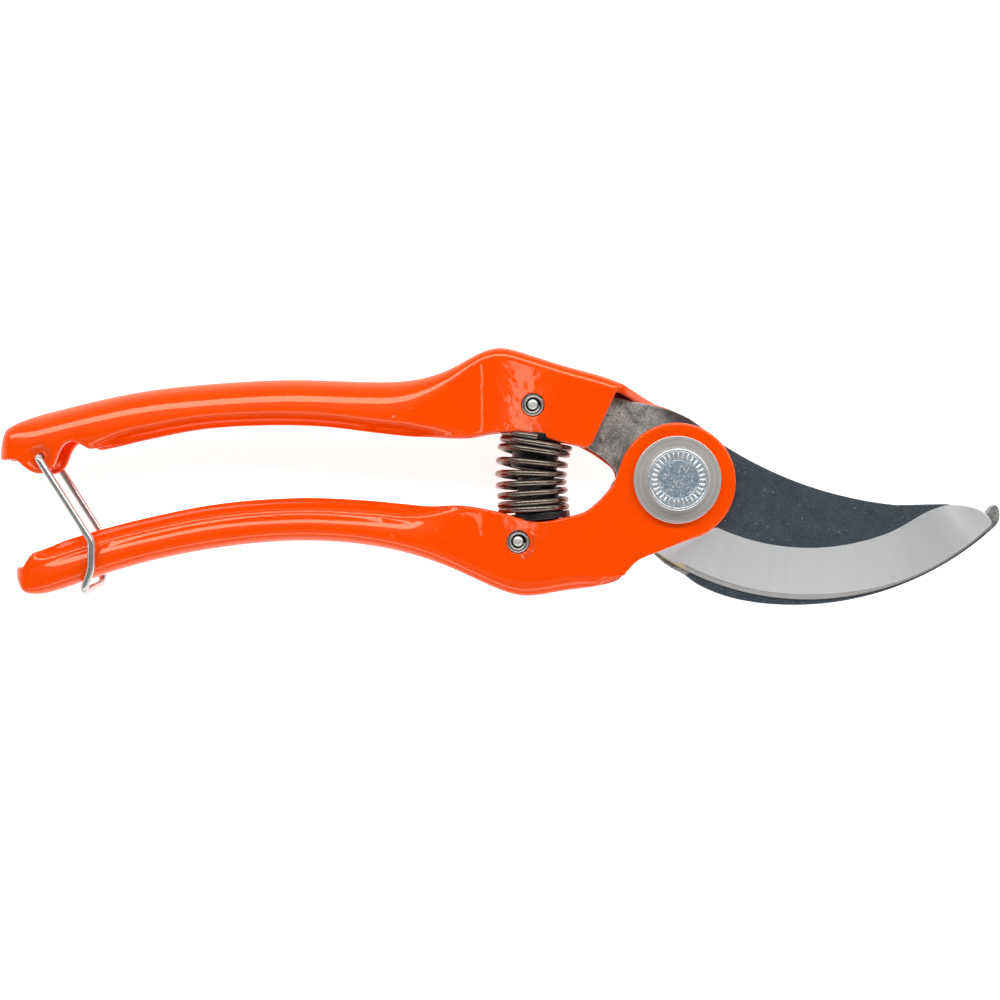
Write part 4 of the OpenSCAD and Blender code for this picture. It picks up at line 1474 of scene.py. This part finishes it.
def make_stem(name, outline, low, high):
    """The flat tongue of a seat, inside its handle; its sides are crowned by a hair, as moulded."""
    def skin(p, k):
        return np.column_stack([p, np.full(len(p), low if k else high)])
    loop = resample(outline + [outline[0]], 0.7)[:-1]
    loop = loop + STEM_CROWN * unit(loop - loop.mean(axis=0))
    xs, ys = loop.T
    dots = grid(xs.min(), xs.max(), ys.min(), ys.max(), 1.6)
    return shell(name, [loop], dots, skin, counter_normal, 0.3, [plastic], gap=0.5)


# ---- catch ----

CATCH = box_mm("catch_loop")
CATCH_R = 0.75
CATCH_HALF = (CATCH[1][2] - CATCH[0][2]) / 2 - CATCH_R
KNEE = [-115.2, -12.2]
SHIN = [-115.3, -17.6]
FOOT = [-116.9, -22.2]
REAR_FOOT = [-116.3, -21.0]
CLIP_R = 1.4
bright_wire = streaked_metal("nickel_wire", (0.52, 0.51, 0.49), (0.64, 0.63, 0.61), 0.2, 0.28, 0.75, 500)


def make_catch():
    """The wire loop, bent at each ear, at each knee and at both ends of the crosspiece. Its rear leg
    is a little shorter."""
    inner = GRIP_HALF - SHEET - DENT_DEEP - 1.3
    one = [[CATCH_AT[0], CATCH_AT[1], inner], [CATCH_AT[0], CATCH_AT[1], CATCH_HALF],
           [*KNEE, CATCH_HALF], [*SHIN, CATCH_HALF], [*FOOT, CATCH_HALF]]
    other = one[:-1] + [[*REAR_FOOT, CATCH_HALF]]
    both = one + [[x, y, -z] for x, y, z in reversed(other)]
    path = fillet_path(both, [0.95, 3.2, 8, 1.6, 1.6, 8, 3.2, 0.95]) + [0, 0, MID_Z]
    return tube("catch_wire", path, CATCH_R, 20, bright_wire)


def make_clip(name, side):
    """The upset collar that holds the wire inside an ear."""
    profile = [(CATCH_R, 0), (CLIP_R, 0), (CLIP_R, 0.5), (CATCH_R, 0.8), (CATCH_R, 0)]
    z = MID_Z + side * (GRIP_HALF - SHEET - DENT_DEEP - 0.1)
    at = (CATCH_AT[0], CATCH_AT[1], z)
    return revolve(name, rounded(profile, 0.12), at, (0, 0, -side), [bright_wire], 72)


# ---- pieces ----

def place(piece, body, slot, *nodes):
    """Fixes a piece to its body, and hides the CAD nodes that it replaces. Its slot is not used."""
    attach(piece, body)
    if nodes:
        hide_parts(*nodes)
    return piece


place(upper_channel.make("upper_handle_pressing", [paint]), "upper_side", "handle_paint",
      "upper_handle")
place(lower_channel.make("lower_handle_pressing", [lower_paint]), "lower_side", "handle_paint",
      "lower_handle")
place(make_cutting_blade(), "lower_side", "blade_steel", "cutting_blade")
place(make_counter_blade(), "upper_side", "hook_coating", "counter_blade")
place(make_pin("upper_pin_rolled", "upper_pin"), "upper_side", "pin_steel", "upper_pin")
place(make_pin("lower_pin_rolled", "lower_pin"), "lower_side", "pin_steel", "lower_pin")
place(make_pin_core("upper_pin_core", "upper_pin"), "upper_side", "pin_steel")
place(make_pin_core("lower_pin_core", "lower_pin"), "lower_side", "pin_steel")
place(make_bolt(), "upper_side", "zinc_plate", "pivot_bolt")
place(make_stamped_ring(), "upper_side", "zinc_plate")
place(make_nut(), "upper_side", "zinc_plate", "pivot_nut")
place(make_washer("front_washer_turned", FRONT_WASHER[0][2], FRONT_WASHER[1][2], True), "upper_side",
      "washer_steel", "front_washer")
place(make_washer("rear_washer_turned", REAR_WASHER[0][2], REAR_WASHER[1][2], False), "upper_side",
      "washer_steel", "rear_washer")
place(make_seat("upper_seat_peg", SEAT_TOP, SEAT_TOP_TILT,
                [(0, -6.8), (4.65, -6.8), (4.65, -0.8), (5.7, -0.8), (5.7, 0.6), (0, 0.6)],
                [0, 0.6, 0.2, 0.15, 0.15, 0]), "upper_side", "black_plastic", "upper_spring_seat")
place(make_stem("upper_seat_stem", [[-32.8, 8.4], [-32.8, 18.6], [-24.4, 18.6], [-23.8, 7.6]],
                COUNTER_HIGH + SLIDE_GAP, MID_Z + HEAD_HALF - SHEET - SLIDE_GAP),
      "upper_side", "black_plastic")
place(make_seat("lower_seat_peg", SEAT_BOTTOM, SEAT_BOTTOM_TILT,
                [(0, -1.4), (6.2, -1.4), (6.2, 0), (4.8, 0), (3.6, 7.3), (0, 7.3)],
                [0, 0.2, 0.3, 0.2, 0.7, 0]), "lower_side", "black_plastic", "lower_spring_seat")
place(make_stem("lower_seat_stem", [[-32, -7.9], [-35.4, -9.3], [-35.4, -16], [-26, -16], [-23, -7.1]],
                MID_Z - HEAD_HALF + SHEET + SLIDE_GAP, CUT_LOW - 2 * SLIDE_GAP),
      "lower_side", "black_plastic")
place(make_catch(), "catch", "bright_wire", "catch_loop")
place(make_clip("catch_clip_front", 1), "catch", "bright_wire")
place(make_clip("catch_clip_rear", -1), "catch", "bright_wire")

coil = make_spring()
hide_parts("spring")
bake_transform(coil)


# ---- stage, light and camera ----

CAMERA_AT = (-35.0, -4.0)
CAMERA_ABOVE = 470.0
LENS = 84.6
LIGHTS_AIM = (-0.035, 0.0, 0.009)

camera = bpy.data.objects.new("camera", bpy.data.cameras.new("camera"))
bpy.context.scene.collection.objects.link(camera)
camera.location = (CAMERA_AT[0] * MM, CAMERA_AT[1] * MM, (MID_Z + CAMERA_ABOVE) * MM)
camera.data.lens = LENS
bpy.context.scene.camera = camera


def softbox(name, at, size, power, look=LIGHTS_AIM):
    """A rectangular light at a place in metres, turned towards another one."""
    light = bpy.data.lights.new(name, "AREA")
    light.shape = "RECTANGLE"
    light.size, light.size_y = size
    light.energy = power
    o = bpy.data.objects.new(name, light)
    o.location = at
    o.rotation_euler = (Vector(look) - Vector(at)).to_track_quat("-Z", "Y").to_euler()
    bpy.context.scene.collection.objects.link(o)


softbox("key_light", (0.0, 0.5, 0.62), (1.9, 0.2), 7.2)
softbox("fill_light", (0.1, -0.7, 0.55), (1.8, 0.3), 4.3)
# a small card over the upper handle's head, which shows as a pale stripe beside the pin
softbox("card_light", (-0.026, 0.022, 0.49), (0.009, 0.075), 0.008, look=(-0.026, 0.022, 0.0))

SIDE_LIGHT = [
    (-1.0, 0.6), (-0.8, 0.15), (-0.62, 0.2), (-0.48, 0.4), (-0.3, 0.38), (-0.13, 0.03),
    (0.13, 0.03), (0.35, 0.3), (0.66, 0.98), (0.7, 0.3), (0.85, 0.15), (1.0, 0.45),
]
HORIZON = (0.5, 0.1)
FLOOR_SIZE = 6
FLOOR_DROP = 0.2


def studio():
    """Dark straight above, where the flat faces mirror it, and a bright band on the +Y side.
    SIDE_LIGHT gives the light at each Y of a direction. It rises to full light near the horizon,
    between the two Z of HORIZON."""
    world = bpy.data.worlds.new("studio")
    world.use_nodes = True
    g = Nodes(world.node_tree, "Generated")
    _, y, z = g.split()
    side = g.add("ValToRGB", {0: g.spread(y, -1.0, 1.0)})
    stops = side.node.color_ramp.elements
    for k, (at_y, level) in enumerate(SIDE_LIGHT):
        place_at = (at_y + 1) / 2
        stop = stops[k] if k < 2 else stops.new(place_at)
        stop.position = place_at
        stop.color = (level, level, level, 1)
    back = g.tree.nodes["Background"]
    back.inputs["Color"].default_value = (0.97, 0.985, 1.0, 1)
    g.tree.links.new(g.math("MAXIMUM", side, g.spread(z, *HORIZON)), back.inputs["Strength"])
    bpy.context.scene.world = world


def floor_material():
    """Pale matt board that glows a little, so that shadows stay light."""
    g = Graph("floor_board", Roughness=0.9)
    cloud = g.noise(6, 3)
    colour = g.tint(cloud, (0.84, 0.84, 0.84), (0.86, 0.86, 0.86))
    g.bsdf.inputs["Emission Color"].default_value = (1, 1, 1, 1)
    g.bsdf.inputs["Emission Strength"].default_value = 0.85
    return g.finish(Base_Color=colour)


studio()
bpy.context.scene.view_settings.view_transform = "Standard"
bpy.ops.mesh.primitive_plane_add(size=FLOOR_SIZE, location=(0, 0, cad_box[0][2] - FLOOR_DROP * MM))
floor = bpy.context.object
floor.name = "floor"
floor.data.materials.append(floor_material())
